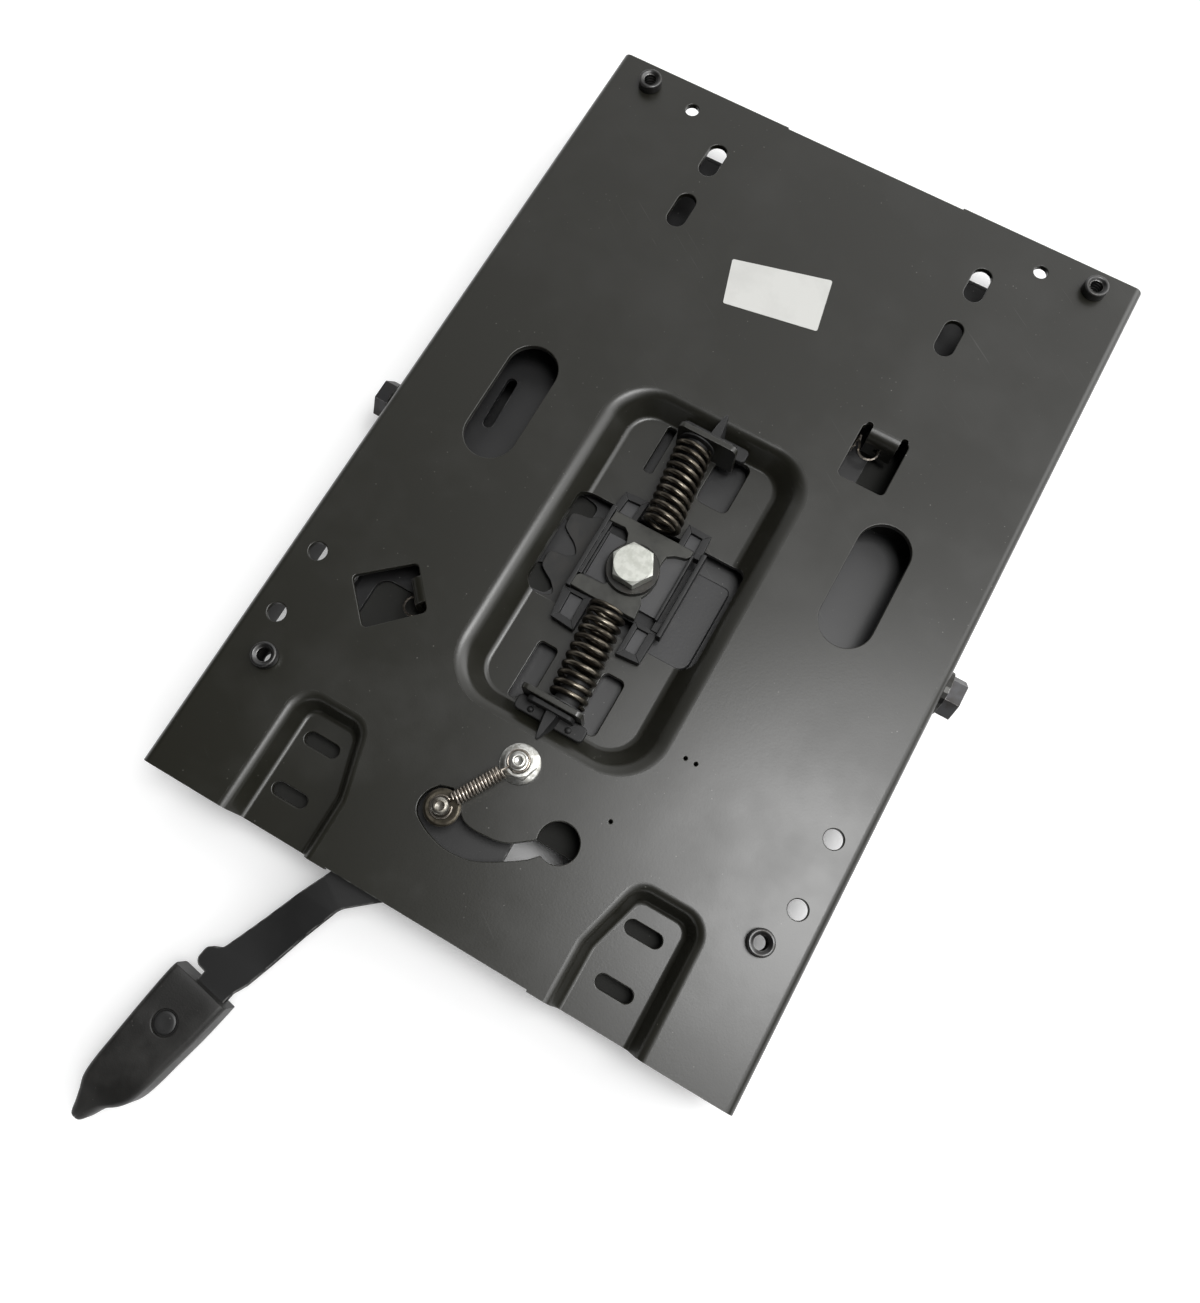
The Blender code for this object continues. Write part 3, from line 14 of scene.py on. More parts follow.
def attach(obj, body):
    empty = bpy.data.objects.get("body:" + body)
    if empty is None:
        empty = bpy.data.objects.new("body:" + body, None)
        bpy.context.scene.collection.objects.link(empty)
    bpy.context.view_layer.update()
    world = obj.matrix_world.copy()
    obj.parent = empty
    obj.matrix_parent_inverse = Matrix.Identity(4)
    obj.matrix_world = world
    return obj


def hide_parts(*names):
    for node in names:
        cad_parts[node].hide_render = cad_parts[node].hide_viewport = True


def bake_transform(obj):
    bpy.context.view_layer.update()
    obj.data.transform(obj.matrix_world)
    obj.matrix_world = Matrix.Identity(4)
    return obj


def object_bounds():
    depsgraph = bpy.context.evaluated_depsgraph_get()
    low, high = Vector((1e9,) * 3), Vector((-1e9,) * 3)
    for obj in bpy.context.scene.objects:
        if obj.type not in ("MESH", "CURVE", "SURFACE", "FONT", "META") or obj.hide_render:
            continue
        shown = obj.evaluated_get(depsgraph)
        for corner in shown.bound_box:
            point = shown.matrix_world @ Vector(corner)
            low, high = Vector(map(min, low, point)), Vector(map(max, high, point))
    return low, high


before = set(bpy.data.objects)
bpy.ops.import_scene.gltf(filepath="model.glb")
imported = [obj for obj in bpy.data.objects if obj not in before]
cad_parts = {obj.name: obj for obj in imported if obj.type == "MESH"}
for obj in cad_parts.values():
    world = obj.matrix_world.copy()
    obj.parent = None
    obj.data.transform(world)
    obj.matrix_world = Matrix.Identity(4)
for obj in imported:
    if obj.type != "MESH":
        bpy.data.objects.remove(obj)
CAD_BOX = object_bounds()

# The frame's origin lies this far ahead of the tray's middle
SHIFT_Y = 66.0

# The tray, its sheet and the levels of what lies in it
TRAY_HALF_WIDTH = 137.5
TRAY_HALF_LENGTH = 203.0
TRAY_TOP = 42.0
TRAY_BEND = 3.9
FLANGE_EDGE = 12.0
SHEET = 2.5
RECESS_FLOOR = 31.0
LOWER_TOP = 23.0

# What the tray shares with the pieces fixed to it
PIVOT = (-0.5, -128.0)
PIVOT_BORE = 5.2
PIN = (-18.8, -158.8)
COLLAR_X = 117.0
COLLAR_ROWS = {"rear": 191.8, "front": -141.8}
AXLE_ROWS = (130.0, -50.0)
AXLE_Z = 17.7
SIDE_BOLT = (-9.8, 25.5)
SPRING_AXIS = 41.0
ISOLATOR_Y = -32.0
TAB_FACE = 66.3
GUIDE_NECKS = {"rear": -1.5, "front": 0.0}


def to_frame(point):
    """A point of the drawings, in millimetres, as a point of the frame."""
    return (point[0] / 1000.0, (point[1] + SHIFT_Y) / 1000.0, point[2] / 1000.0)


# Outlines, seen from above

def circle(x, y, radius, segments=48):
    """Points round a circle."""
    step = 2.0 * math.pi / segments
    return [(x + radius * math.cos(i * step), y + radius * math.sin(i * step)) for i in range(segments)]


def hexagon(x, y, across_flats, turn=0.0):
    """A hexagon by its width across flats, turned about its middle."""
    radius = across_flats / math.sqrt(3.0)
    return [(x + radius * math.cos(turn + i * math.pi / 3), y + radius * math.sin(turn + i * math.pi / 3))
            for i in range(6)]


def obround(x0, y0, x1, y1, radius, segments=14):
    """A slot with round ends, by the centres of its ends."""
    heading = math.atan2(y1 - y0, x1 - x0)
    outline = []
    for cx, cy, start in ((x1, y1, heading - math.pi / 2), (x0, y0, heading + math.pi / 2)):
        for i in range(segments + 1):
            angle = start + math.pi * i / segments
            outline.append((cx + radius * math.cos(angle), cy + radius * math.sin(angle)))
    return outline


def round_corners(corners, radii, segments=6):
    """The outline with an arc at each corner; radii is one number, or one for each corner."""
    outline = []
    count = len(corners)
    for i in range(count):
        here = Vector(corners[i])
        back = (Vector(corners[i - 1]) - here).normalized()
        ahead = (Vector(corners[(i + 1) % count]) - here).normalized()
        radius = radii[i] if isinstance(radii, (list, tuple)) else radii
        if radius <= 0.0:
            outline.append(tuple(here))
            continue
        half = math.acos(max(-1.0, min(1.0, back.dot(ahead)))) / 2.0
        reach = radius / math.tan(half)
        centre = here + (back + ahead).normalized() * (radius / math.sin(half))
        first = here + back * reach - centre
        last = here + ahead * reach - centre
        sweep = first.angle_signed(last)
        for k in range(segments + 1):
            angle = -sweep * k / segments
            spoke = Vector((first.x * math.cos(angle) - first.y * math.sin(angle),
                            first.x * math.sin(angle) + first.y * math.cos(angle)))
            outline.append(tuple(centre + spoke))
    return outline


def rounded_box(cx, cy, half_x, half_y, radius, segments=8):
    """A box by its middle and half sizes, with round corners."""
    return round_corners([(cx - half_x, cy - half_y), (cx + half_x, cy - half_y),
                          (cx + half_x, cy + half_y), (cx - half_x, cy + half_y)], radius, segments)


def mirrored(outline):
    """The same outline on the other side of the tray."""
    return [(-x, y) for x, y in reversed(outline)]


def grown(outline, distance):
    """The outline moved outward by a distance, corner by corner."""
    moved = []
    count = len(outline)
    for i in range(count):
        here = Vector(outline[i])
        a = here - Vector(outline[i - 1])
        b = Vector(outline[(i + 1) % count]) - here
        normal_a = Vector((a.y, -a.x)).normalized()
        normal_b = Vector((b.y, -b.x)).normalized()
        middle = normal_a + normal_b
        if middle.length < 1e-6:
            middle = normal_a
        middle.normalize()
        share = max(0.35, middle.dot(normal_a))
        moved.append(tuple(here + middle * (distance / share)))
    return moved


# Solids and pieces

def bridge(bm, low, high):
    """One band of faces between two closed rows of vertices."""
    count = len(low)
    for i in range(count):
        j = (i + 1) % count
        bm.faces.new((low[i], low[j], high[j], high[i]))


def loft(bm, rings):
    """A solid through rings that all have as many points, closed by its first and last ring."""
    rows = [[bm.verts.new(p) for p in ring] for ring in rings]
    for low, high in zip(rows, rows[1:]):
        bridge(bm, low, high)
    bm.faces.new(list(reversed(rows[0])))
    bm.faces.new(rows[-1])


def level(outline, z):
    """The outline as a ring at one height."""
    return [(x, y, z) for x, y in outline]


def prism(bm, outline, z0, z1):
    """A solid of one outline between two heights."""
    loft(bm, [level(outline, z0), level(outline, z1)])


def soft_prism(bm, outline, z0, z1, edge, steps=3):
    """A plate whose upper and lower edges are rounded by 'edge'."""
    rings = []
    for i in range(steps + 1):
        angle = math.pi / 2 * i / steps
        inset, rise = edge - edge * math.sin(angle), edge - edge * math.cos(angle)
        rings.append(level(grown(outline, -inset), z0 + rise))
    for i in range(steps + 1):
        angle = math.pi / 2 * i / steps
        inset, drop = edge - edge * math.cos(angle), edge - edge * math.sin(angle)
        rings.append(level(grown(outline, -inset), z1 - drop))
    loft(bm, rings)


def punch(bm, outline, top, edge=0.45, bottom=15.0):
    """A punch whose hole keeps a rolled upper edge."""
    rings = [level(outline, bottom)]
    for i in range(5):
        angle = math.pi / 2 * i / 4
        flare, rise = edge - edge * math.cos(angle), edge * math.sin(angle)
        rings.append(level(grown(outline, flare), top - edge + rise))
    rings.append(level(grown(outline, edge), top + 14.0))
    loft(bm, rings)


def box(bm, x0, x1, y0, y1, z0, z1):
    """A plain box."""
    prism(bm, [(x0, y0), (x1, y0), (x1, y1), (x0, y1)], z0, z1)


def extrude_y(bm, section, y0, y1):
    """A section in x and z, drawn out along y."""
    loft(bm, [[(x, y0, z) for x, z in section], [(x, y1, z) for x, z in section]])


def upright_plate(bm, section, y0, y1, edge):
    """A plate that stands across y, drawn in x and z, with its edges broken."""
    way = math.copysign(1.0, y1 - y0)
    steps = ((0.0, edge), (0.3 * edge, 0.3 * edge), (edge, 0.0))
    places = [(y0 + way * step, inset) for step, inset in steps]
    places += [(y1 - way * step, inset) for step, inset in reversed(steps)]
    loft(bm, [[(x, y, z) for x, z in grown(section, -inset)] for y, inset in places])


def turned(bm, profile, centre, axis="z", segments=48):
    """A turned body: profile is (distance along the axis, radius)."""
    rings = []
    for along, radius in profile:
        ring = []
        for i in range(segments):
            angle = 2.0 * math.pi * i / segments
            a = radius * math.cos(angle)
            b = radius * math.sin(angle)
            offset = {"x": (along, a, b), "y": (b, along, a), "z": (a, b, along)}[axis]
            ring.append(tuple(centre[k] + offset[k] for k in range(3)))
        rings.append(ring)
    loft(bm, rings)


def turned_ring(bm, profile, centre, segments=48):
    """An upright turned body with a bore: its profile, of (height, radius), closes on itself."""
    rows = []
    for z, radius in profile:
        rows.append([bm.verts.new(point) for point in level(circle(*centre, radius, segments), z)])
    for low, high in zip(rows, rows[1:] + rows[:1]):
        bridge(bm, low, high)


def swept(bm, path, radius, sides, taper=None):
    """A round wire along a path; taper(share) scales its radius."""
    points = [Vector(p) for p in path]
    normal = (points[1] - points[0]).normalized().orthogonal().normalized()
    rings = []
    last = len(points) - 1
    for i, point in enumerate(points):
        ahead = points[min(i + 1, last)] - points[max(i - 1, 0)]
        ahead.normalize()
        normal = (normal - ahead * normal.dot(ahead)).normalized()
        side = ahead.cross(normal)
        size = radius * (taper(i / last) if taper else 1.0)
        rings.append([tuple(point + (normal * math.cos(2 * math.pi * k / sides)
                                     + side * math.sin(2 * math.pi * k / sides)) * size)
                      for k in range(sides)])
    loft(bm, rings)


def new_piece(name, bm, to_metres=True):
    """The drawing as an object of the scene."""
    bmesh.ops.recalc_face_normals(bm, faces=bm.faces)
    if to_metres:
        for vert in bm.verts:
            vert.co = Vector(to_frame(vert.co))
    mesh = bpy.data.meshes.new(name)
    bm.to_mesh(mesh)
    bm.free()
    piece = bpy.data.objects.new(name, mesh)
    bpy.context.scene.collection.objects.link(piece)
    return piece


def raw_piece(name, bm):
    """The drawing as an object still in millimetres, for Boolean steps."""
    return new_piece(name, bm, to_metres=False)


def combine(target, tool, operation):
    """One exact Boolean step, carried out at once; the tool is dropped."""
    step = target.modifiers.new("step", "BOOLEAN")
    step.solver = "EXACT"
    step.operation = operation
    step.object = tool
    bpy.context.view_layer.update()
    mesh = bpy.data.meshes.new_from_object(target.evaluated_get(bpy.context.evaluated_depsgraph_get()))
    target.modifiers.clear()
    target.data = mesh
    bpy.data.objects.remove(tool, do_unlink=True)


def settle(piece, smooth_angle):
    """Bring a piece in millimetres into the frame and shade it."""
    bm = bmesh.new()
    bm.from_mesh(piece.data)
    bmesh.ops.remove_doubles(bm, verts=bm.verts, dist=0.001)
    for vert in bm.verts:
        vert.co = Vector(to_frame(vert.co))
    bmesh.ops.recalc_face_normals(bm, faces=bm.faces)
    bm.to_mesh(piece.data)
    bm.free()
    shade(piece, smooth_angle)


def shade(piece, smooth_angle, weighted=True):
    """Smooth shading that breaks at edges sharper than the angle."""
    piece.data.shade_smooth()
    piece.data.set_sharp_from_angle(angle=math.radians(smooth_angle))
    if weighted:
        step = piece.modifiers.new("flat faces lead", "WEIGHTED_NORMAL")
        step.keep_sharp = True


def dress(piece, material, body=None, stands_for=()):
    """Give a piece its material, its body and the nodes that it replaces."""
    piece.data.materials.clear()
    piece.data.materials.append(material)
    if body:
        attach(piece, body)
    if stands_for:
        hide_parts(*stands_for)


def finished(name, bm, smooth_angle, material, body=None, stands_for=(), weighted=True):
    """The drawing as a shaded and dressed piece of the frame."""
    piece = new_piece(name, bm)
    shade(piece, smooth_angle, weighted)
    dress(piece, material, body, stands_for)
    return piece


# Shader effects that the materials share

def group(name, inputs, outputs):
    """A new shader group with named sockets, and its input and output nodes."""
    tree = bpy.data.node_groups.new(name, "ShaderNodeTree")
    for label, kind, value in inputs:
        socket = tree.interface.new_socket(name=label, in_out="INPUT", socket_type=kind)
        if value is not None:
            socket.default_value = value
    for label, kind in outputs:
        tree.interface.new_socket(name=label, in_out="OUTPUT", socket_type=kind)
    return tree, tree.nodes.new("NodeGroupInput"), tree.nodes.new("NodeGroupOutput")


def node(tree, kind, **settings):
    """A new node with its sockets or properties set by name."""
    item = tree.nodes.new(kind)
    for key, value in settings.items():
        if key in item.inputs:
            item.inputs[key].default_value = value
        else:
            setattr(item, key, value)
    return item


def link(tree, source, target):
    """Join two sockets."""
    tree.links.new(source, target)


def noise(tree, coords, scale, detail=3.0, roughness=0.5):
    """Noise at a fixed or a linked scale."""
    item = tree.nodes.new("ShaderNodeTexNoise")
    item.inputs["Detail"].default_value = detail
    item.inputs["Roughness"].default_value = roughness
    link(tree, coords, item.inputs["Vector"])
    if isinstance(scale, (int, float)):
        item.inputs["Scale"].default_value = scale
    else:
        link(tree, scale, item.inputs["Scale"])
    return item.outputs["Fac"]


def span(tree, value, low, high, to_low=0.0, to_high=1.0):
    """The value read between low and high, as to_low to to_high, held at the ends."""
    item = tree.nodes.new("ShaderNodeMapRange")
    item.inputs["From Min"].default_value = low
    item.inputs["From Max"].default_value = high
    item.inputs["To Min"].default_value = to_low
    item.inputs["To Max"].default_value = to_high
    link(tree, value, item.inputs["Value"])
    return item.outputs["Result"]


def calc(tree, operation, a, b=None):
    """One arithmetic step on values or links."""
    item = tree.nodes.new("ShaderNodeMath")
    item.operation = operation
    for i, value in enumerate((a, b)):
        if value is None:
            continue
        if isinstance(value, (int, float)):
            item.inputs[i].default_value = value
        else:
            link(tree, value, item.inputs[i])
    return item.outputs[0]


def blend_colors(tree, share, first, second):
    """A colour between two colours or links."""
    item = tree.nodes.new("ShaderNodeMix")
    item.data_type = "RGBA"
    if isinstance(share, (int, float)):
        item.inputs[0].default_value = share
    else:
        link(tree, share, item.inputs[0])
    for index, value in ((6, first), (7, second)):
        if isinstance(value, tuple):
            item.inputs[index].default_value = (*value, 1.0)
        else:
            link(tree, value, item.inputs[index])
    return item.outputs[2]


def build_dust():
    """Fine bright specks and soft smears, from the object's own coordinates."""
    tree, given, result = group("dust and smears", [("Speck Scale", "NodeSocketFloat", 900.0),
                                                    ("Smear Scale", "NodeSocketFloat", 18.0)],
                                [("Specks", "NodeSocketFloat"), ("Smears", "NodeSocketFloat")])
    coords = node(tree, "ShaderNodeTexCoord").outputs["Object"]
    dots = tree.nodes.new("ShaderNodeTexVoronoi")
    link(tree, coords, dots.inputs["Vector"])
    link(tree, given.outputs["Speck Scale"], dots.inputs["Scale"])
    close = span(tree, dots.outputs["Distance"], 0.10, 0.20, 1.0, 0.0)
    chosen = node(tree, "ShaderNodeSeparateColor")
    link(tree, dots.outputs["Color"], chosen.inputs[0])
    picked = span(tree, chosen.outputs[0], 0.93, 0.99)
    patches = span(tree, noise(tree, coords, 26.0, 2.0), 0.46, 0.62)
    specks = calc(tree, "MULTIPLY", calc(tree, "MULTIPLY", close, picked), patches)
    link(tree, specks, result.inputs["Specks"])
    soft = noise(tree, coords, given.outputs["Smear Scale"], 4.0, 0.62)
    link(tree, span(tree, soft, 0.47, 0.68), result.inputs["Smears"])
    return tree


def build_edge_wear():
    """A mask along outer edges, broken up by noise."""
    tree, given, result = group("edge wear", [("Radius", "NodeSocketFloat", 0.0005),
                                              ("Break Scale", "NodeSocketFloat", 300.0)],
                                [("Mask", "NodeSocketFloat")])
    rounded = node(tree, "ShaderNodeBevel", samples=4)
    link(tree, given.outputs["Radius"], rounded.inputs["Radius"])
    geometry = node(tree, "ShaderNodeNewGeometry")
    dot = node(tree, "ShaderNodeVectorMath", operation="DOT_PRODUCT")
    link(tree, rounded.outputs[0], dot.inputs[0])
    link(tree, geometry.outputs["Normal"], dot.inputs[1])
    edge = span(tree, dot.outputs["Value"], 0.80, 0.97, 1.0, 0.0)
    coords = node(tree, "ShaderNodeTexCoord").outputs["Object"]
    broken = span(tree, noise(tree, coords, given.outputs["Break Scale"], 3.0), 0.42, 0.60)
    link(tree, calc(tree, "MULTIPLY", edge, broken), result.inputs["Mask"])
    return tree


def build_scuffs():
    """Short fine scratches: noise stretched hard along one heading."""
    tree, given, result = group("fine scratches", [("Heading", "NodeSocketFloat", 0.6),
                                                   ("Density", "NodeSocketFloat", 0.5)],
                                [("Mask", "NodeSocketFloat")])
    coords = node(tree, "ShaderNodeTexCoord").outputs["Object"]
    turn = node(tree, "ShaderNodeVectorRotate", rotation_type="Z_AXIS")
    link(tree, coords, turn.inputs["Vector"])
    link(tree, given.outputs["Heading"], turn.inputs["Angle"])
    stretch = node(tree, "ShaderNodeMapping")
    stretch.inputs["Scale"].default_value = (30.0, 1700.0, 400.0)
    link(tree, turn.outputs[0], stretch.inputs["Vector"])
    lines = noise(tree, stretch.outputs[0], 1.0, 2.0, 0.5)
    thin = span(tree, lines, 0.70, 0.76)
    zones = span(tree, noise(tree, coords, 14.0, 2.0), 0.52, 0.66)
    link(tree, calc(tree, "MULTIPLY", calc(tree, "MULTIPLY", thin, zones), given.outputs["Density"]),
         result.inputs["Mask"])
    return tree


def build_grain():
    """Height for a moulded or coated surface: fine grain over a slow waviness."""
    tree, given, result = group("surface grain", [("Fine Scale", "NodeSocketFloat", 1500.0),
                                                  ("Slow Scale", "NodeSocketFloat", 60.0),
                                                  ("Slow Share", "NodeSocketFloat", 0.3)],
                                [("Height", "NodeSocketFloat"), ("Mottle", "NodeSocketFloat")])
    coords = node(tree, "ShaderNodeTexCoord").outputs["Object"]
    fine = noise(tree, coords, given.outputs["Fine Scale"], 2.0, 0.5)
    slow = noise(tree, coords, given.outputs["Slow Scale"], 3.0, 0.5)
    height = calc(tree, "ADD", fine, calc(tree, "MULTIPLY", slow, given.outputs["Slow Share"]))
    link(tree, height, result.inputs["Height"])
    link(tree, slow, result.inputs["Mottle"])
    return tree


DUST = build_dust()
WEAR = build_edge_wear()
SCRATCHES = build_scuffs()
GRAIN = build_grain()


def placed(tree, effect, **values):
    """A shared effect placed in a material with its own values."""
    item = tree.nodes.new("ShaderNodeGroup")
    item.node_tree = effect
    for label, value in values.items():
        item.inputs[label.replace("_", " ")].default_value = value
    return item


# Materials

class Finish:
    """One material being built: the shader, its colour, roughness and height so far."""

    def __init__(self, name, color, metallic, roughness, **sockets):
        self.material = bpy.data.materials.new(name)
        self.material.use_nodes = True
        self.tree = self.material.node_tree
        self.shader = self.tree.nodes["Principled BSDF"]
        self.shader.inputs["Base Color"].default_value = (*color, 1.0)
        self.shader.inputs["Metallic"].default_value = metallic
        self.shader.inputs["Roughness"].default_value = roughness
        for label, value in sockets.items():
            self.shader.inputs[label.replace("_", " ")].default_value = value
        self.color = color
        self.rough = roughness

    def tint(self, mask, color):
        """Bring in a colour where the mask is bright."""
        self.color = blend_colors(self.tree, mask, self.color, color)
        link(self.tree, self.color, self.shader.inputs["Base Color"])

    def roughen(self, mask, amount):
        """Add to the roughness where the mask is bright."""
        self.rough = calc(self.tree, "ADD", self.rough, calc(self.tree, "MULTIPLY", mask, amount))
        link(self.tree, self.rough, self.shader.inputs["Roughness"])

    def bump(self, height, strength, distance):
        """Raise the surface by a height."""
        item = node(self.tree, "ShaderNodeBump", Strength=strength, Distance=distance)
        link(self.tree, height, item.inputs["Height"])
        link(self.tree, item.outputs["Normal"], self.shader.inputs["Normal"])


def satin_paint(name, color, roughness, dust=0.5, wear=0.5, worn=(0.30, 0.30, 0.29), grain=0.12):
    """Satin black coat on sheet steel: orange peel, dull smears, dust and bare edges."""
    finish = Finish(name, color, 0.0, roughness, Specular_IOR_Level=0.7)
    tree = finish.tree
    surface = placed(tree, GRAIN, Fine_Scale=1300.0, Slow_Scale=150.0, Slow_Share=0.5)
    dirt = placed(tree, DUST, Speck_Scale=620.0, Smear_Scale=17.0)
    lines = placed(tree, SCRATCHES, Heading=0.6, Density=0.45)
    edges = placed(tree, WEAR, Radius=0.0005, Break_Scale=240.0)
    finish.tint(calc(tree, "MULTIPLY", dirt.outputs["Smears"], 0.10 * dust + 0.01), (0.085, 0.085, 0.083))
    finish.tint(calc(tree, "MULTIPLY", lines.outputs["Mask"], 0.35), (0.22, 0.22, 0.21))
    finish.tint(calc(tree, "MULTIPLY", dirt.outputs["Specks"], 0.8 * dust), (0.42, 0.41, 0.38))
    finish.tint(calc(tree, "MULTIPLY", edges.outputs["Mask"], wear), worn)
    finish.roughen(dirt.outputs["Smears"], 0.05)
    finish.roughen(lines.outputs["Mask"], 0.10)
    finish.bump(surface.outputs["Height"], grain, 0.00012)
    return finish.material


def bare_steel(name, color, roughness, stain=(0.05, 0.045, 0.04), stains=0.5, metallic=1.0, grain=0.15,
               slow_scale=220.0, shine=None, wear=0.0):
    """Plated, phosphated or oiled steel: metallic, with uneven darker patches."""
    finish = Finish(name, color, metallic, roughness)
    tree = finish.tree
    surface = placed(tree, GRAIN, Fine_Scale=1800.0, Slow_Scale=slow_scale, Slow_Share=0.8)
    patches = span(tree, surface.outputs["Mottle"], 0.42, 0.66)
    finish.tint(calc(tree, "MULTIPLY", patches, stains), stain)
    if shine:
        bright = span(tree, surface.outputs["Mottle"], 0.50, 0.34)
        finish.tint(calc(tree, "MULTIPLY", bright, 0.6), shine)
    if wear:
        edges = placed(tree, WEAR, Radius=0.0004, Break_Scale=500.0)
        finish.tint(calc(tree, "MULTIPLY", edges.outputs["Mask"], wear), (0.55, 0.54, 0.52))
    finish.roughen(patches, 0.12)
    finish.bump(surface.outputs["Height"], grain, 0.00008)
    return finish.material


def moulded_plastic(name, color, roughness, grain=0.35, dust=0.5, scale=900.0, wear=0.4,
                    worn=(0.10, 0.10, 0.10)):
    """Moulded or printed surface: fine grain, dull smears, dust and rubbed edges."""
    finish = Finish(name, color, 0.0, roughness)
    tree = finish.tree
    surface = placed(tree, GRAIN, Fine_Scale=scale, Slow_Scale=90.0, Slow_Share=0.4)
    dirt = placed(tree, DUST, Speck_Scale=900.0, Smear_Scale=45.0)
    edges = placed(tree, WEAR, Radius=0.0004, Break_Scale=260.0)
    finish.tint(calc(tree, "MULTIPLY", dirt.outputs["Smears"], 0.35 * dust), (0.09, 0.088, 0.082))
    finish.tint(calc(tree, "MULTIPLY", dirt.outputs["Specks"], dust), (0.30, 0.29, 0.27))
    finish.tint(calc(tree, "MULTIPLY", edges.outputs["Mask"], wear), worn)
    finish.roughen(dirt.outputs["Smears"], 0.12)
    finish.bump(surface.outputs["Height"], grain, 0.0001)
    return finish.material


TRAY_PAINT = satin_paint("tray satin black", (0.0110, 0.0107, 0.0070), 0.325)
FRAME_PAINT = satin_paint("lower frame black", (0.014, 0.014, 0.0145), 0.38, dust=0.7, wear=0.5)
LEVER_PAINT = satin_paint("lever black", (0.004, 0.004, 0.004), 0.44, dust=0.4, wear=0.5)
# painted shade: a dull black, darker than the frame's paint, for the sheets set where the view through the
# tray finds only shade
SHADE_SHEET_BLACK = satin_paint("painted shade sheets dull black", (0.008, 0.008, 0.006), 0.85, dust=0.4, wear=0.2)
BUTTON_DARK = satin_paint("button dark plastic", (0.007, 0.007, 0.007), 0.5, dust=0.4, wear=0.3)
RAIL_COAT = satin_paint("rail dark coat", (0.030, 0.030, 0.031), 0.40, dust=0.4, wear=0.5)
COLLAR_STEEL = bare_steel("collar black steel", (0.10, 0.10, 0.10), 0.36, wear=0.8)
BOLT_BLACK = bare_steel("side bolt black steel", (0.060, 0.060, 0.062), 0.42, wear=0.5)
BOLT_ZINC = bare_steel("bolt bright zinc", (0.56, 0.57, 0.525), 0.40, stain=(0.28, 0.29, 0.25), stains=0.4,
                       metallic=0.75, grain=0.22, slow_scale=330.0, shine=(0.67, 0.68, 0.63))
NUT_ZINC = bare_steel("nut zinc", (0.62, 0.62, 0.59), 0.32, stain=(0.20, 0.19, 0.16), stains=0.6,
                      slow_scale=500.0, shine=(0.85, 0.85, 0.82))
WASHER_STEEL = bare_steel("washer dark steel", (0.050, 0.050, 0.048), 0.40, stains=0.6, wear=0.5)
PIN_STEEL = bare_steel("pin oiled steel", (0.30, 0.285, 0.25), 0.34, stain=(0.05, 0.04, 0.03), stains=0.8,
                       slow_scale=420.0, shine=(0.55, 0.53, 0.48))
DISC_STEEL = bare_steel("pin disc oiled steel", (0.085, 0.075, 0.058), 0.40, stain=(0.03, 0.026, 0.02),
                        stains=0.8, slow_scale=300.0, wear=0.6)
SPRING_STEEL = bare_steel("isolator spring steel", (0.13, 0.115, 0.092), 0.29, stain=(0.028, 0.024, 0.019),
                          stains=0.85, slow_scale=170.0, shine=(0.27, 0.245, 0.20))
WIRE_STEEL = bare_steel("light spring wire", (0.55, 0.50, 0.44), 0.28, stain=(0.10, 0.08, 0.06), stains=0.7,
                        slow_scale=300.0)
BAR_STEEL = bare_steel("isolator web grey", (0.040, 0.040, 0.034), 0.46, stain=(0.020, 0.020, 0.017),
                       stains=0.5, metallic=0.0)
POCKET_GREY = moulded_plastic("pocket floor grey", (0.050, 0.050, 0.052), 0.40, dust=0.6)
COMB_STEEL = bare_steel("comb sheet grey", (0.030, 0.030, 0.029), 0.42, stains=0.4, metallic=0.3, wear=0.6)
SHOE_PLASTIC = moulded_plastic("slide shoe grey plastic", (0.028, 0.028, 0.029), 0.42, dust=0.9)
LABEL_PAPER = moulded_plastic("label white paper", (0.62, 0.62, 0.595), 0.55, grain=0.15, dust=0.25, wear=0.0)
BLOCK_PLASTIC = moulded_plastic("isolator black plastic", (0.006, 0.006, 0.0063), 0.58, dust=0.4, wear=0.7,
                                worn=(0.13, 0.13, 0.13))
GRIP_PLASTIC = moulded_plastic("grip black plastic", (0.008, 0.0076, 0.0068), 0.50, grain=0.5, dust=0.35,
                               scale=1400.0)
ROLLER_PLASTIC = moulded_plastic("roller natural plastic", (0.66, 0.65, 0.60), 0.42, dust=0.5, wear=0.1,
                                 worn=(0.5, 0.49, 0.46))


# The tray

RECESS_INSET = 15.0
RECESS_WALL = {"depth": TRAY_TOP - RECESS_FLOOR, "inset": RECESS_INSET, "rim": 8.5, "floor": 3.9,
               "slope": math.radians(50.0)}
RECESS_RIM = [(-51.0, -115.5), (49.6, -115.5), (49.6, 50.8), (-51.0, 50.8)]
RECESS_RIM_RADII = [24, 24, 22, 24]
RECESS_FLOOR_EDGE = [(-36.3, -103.8), (33.8, -103.8), (33.8, 40.4), (-36.3, 40.4)]
RECESS_FLOOR_RADII = [11, 13, 10, 11]

POCKET_DEPTH = 10.0
POCKET_INSET = 8.5
POCKET_WALL = {"depth": POCKET_DEPTH, "inset": POCKET_INSET, "rim": 4.2, "floor": 2.4,
               "slope": math.radians(68.0)}
POCKET_RIM = [(54.0, -210.0), (99.4, -210.0), (98.6, -143.0), (63.0, -143.0), (54.0, -176.2)]
POCKET_RIM_RADII = [0, 0, 12, 10, 14]
POCKET_FLOOR = [(62.0, -210.0), (89.7, -210.0), (89.7, -151.5), (69.5, -151.5), (62.0, -176.0)]
POCKET_FLOOR_RADII = [0, 0, 4.5, 4, 10]
# The slots in the pocket floors: middle in x, how far to the left both pairs sit, rows, half length, radius
POCKET_SLOT_X = 77.6
POCKET_SLOT_LEFT = 1.4
POCKET_SLOT_ROWS = (-161.5, -185.6)
POCKET_SLOT_HALF = 5.2
POCKET_SLOT_RADIUS = 3.1

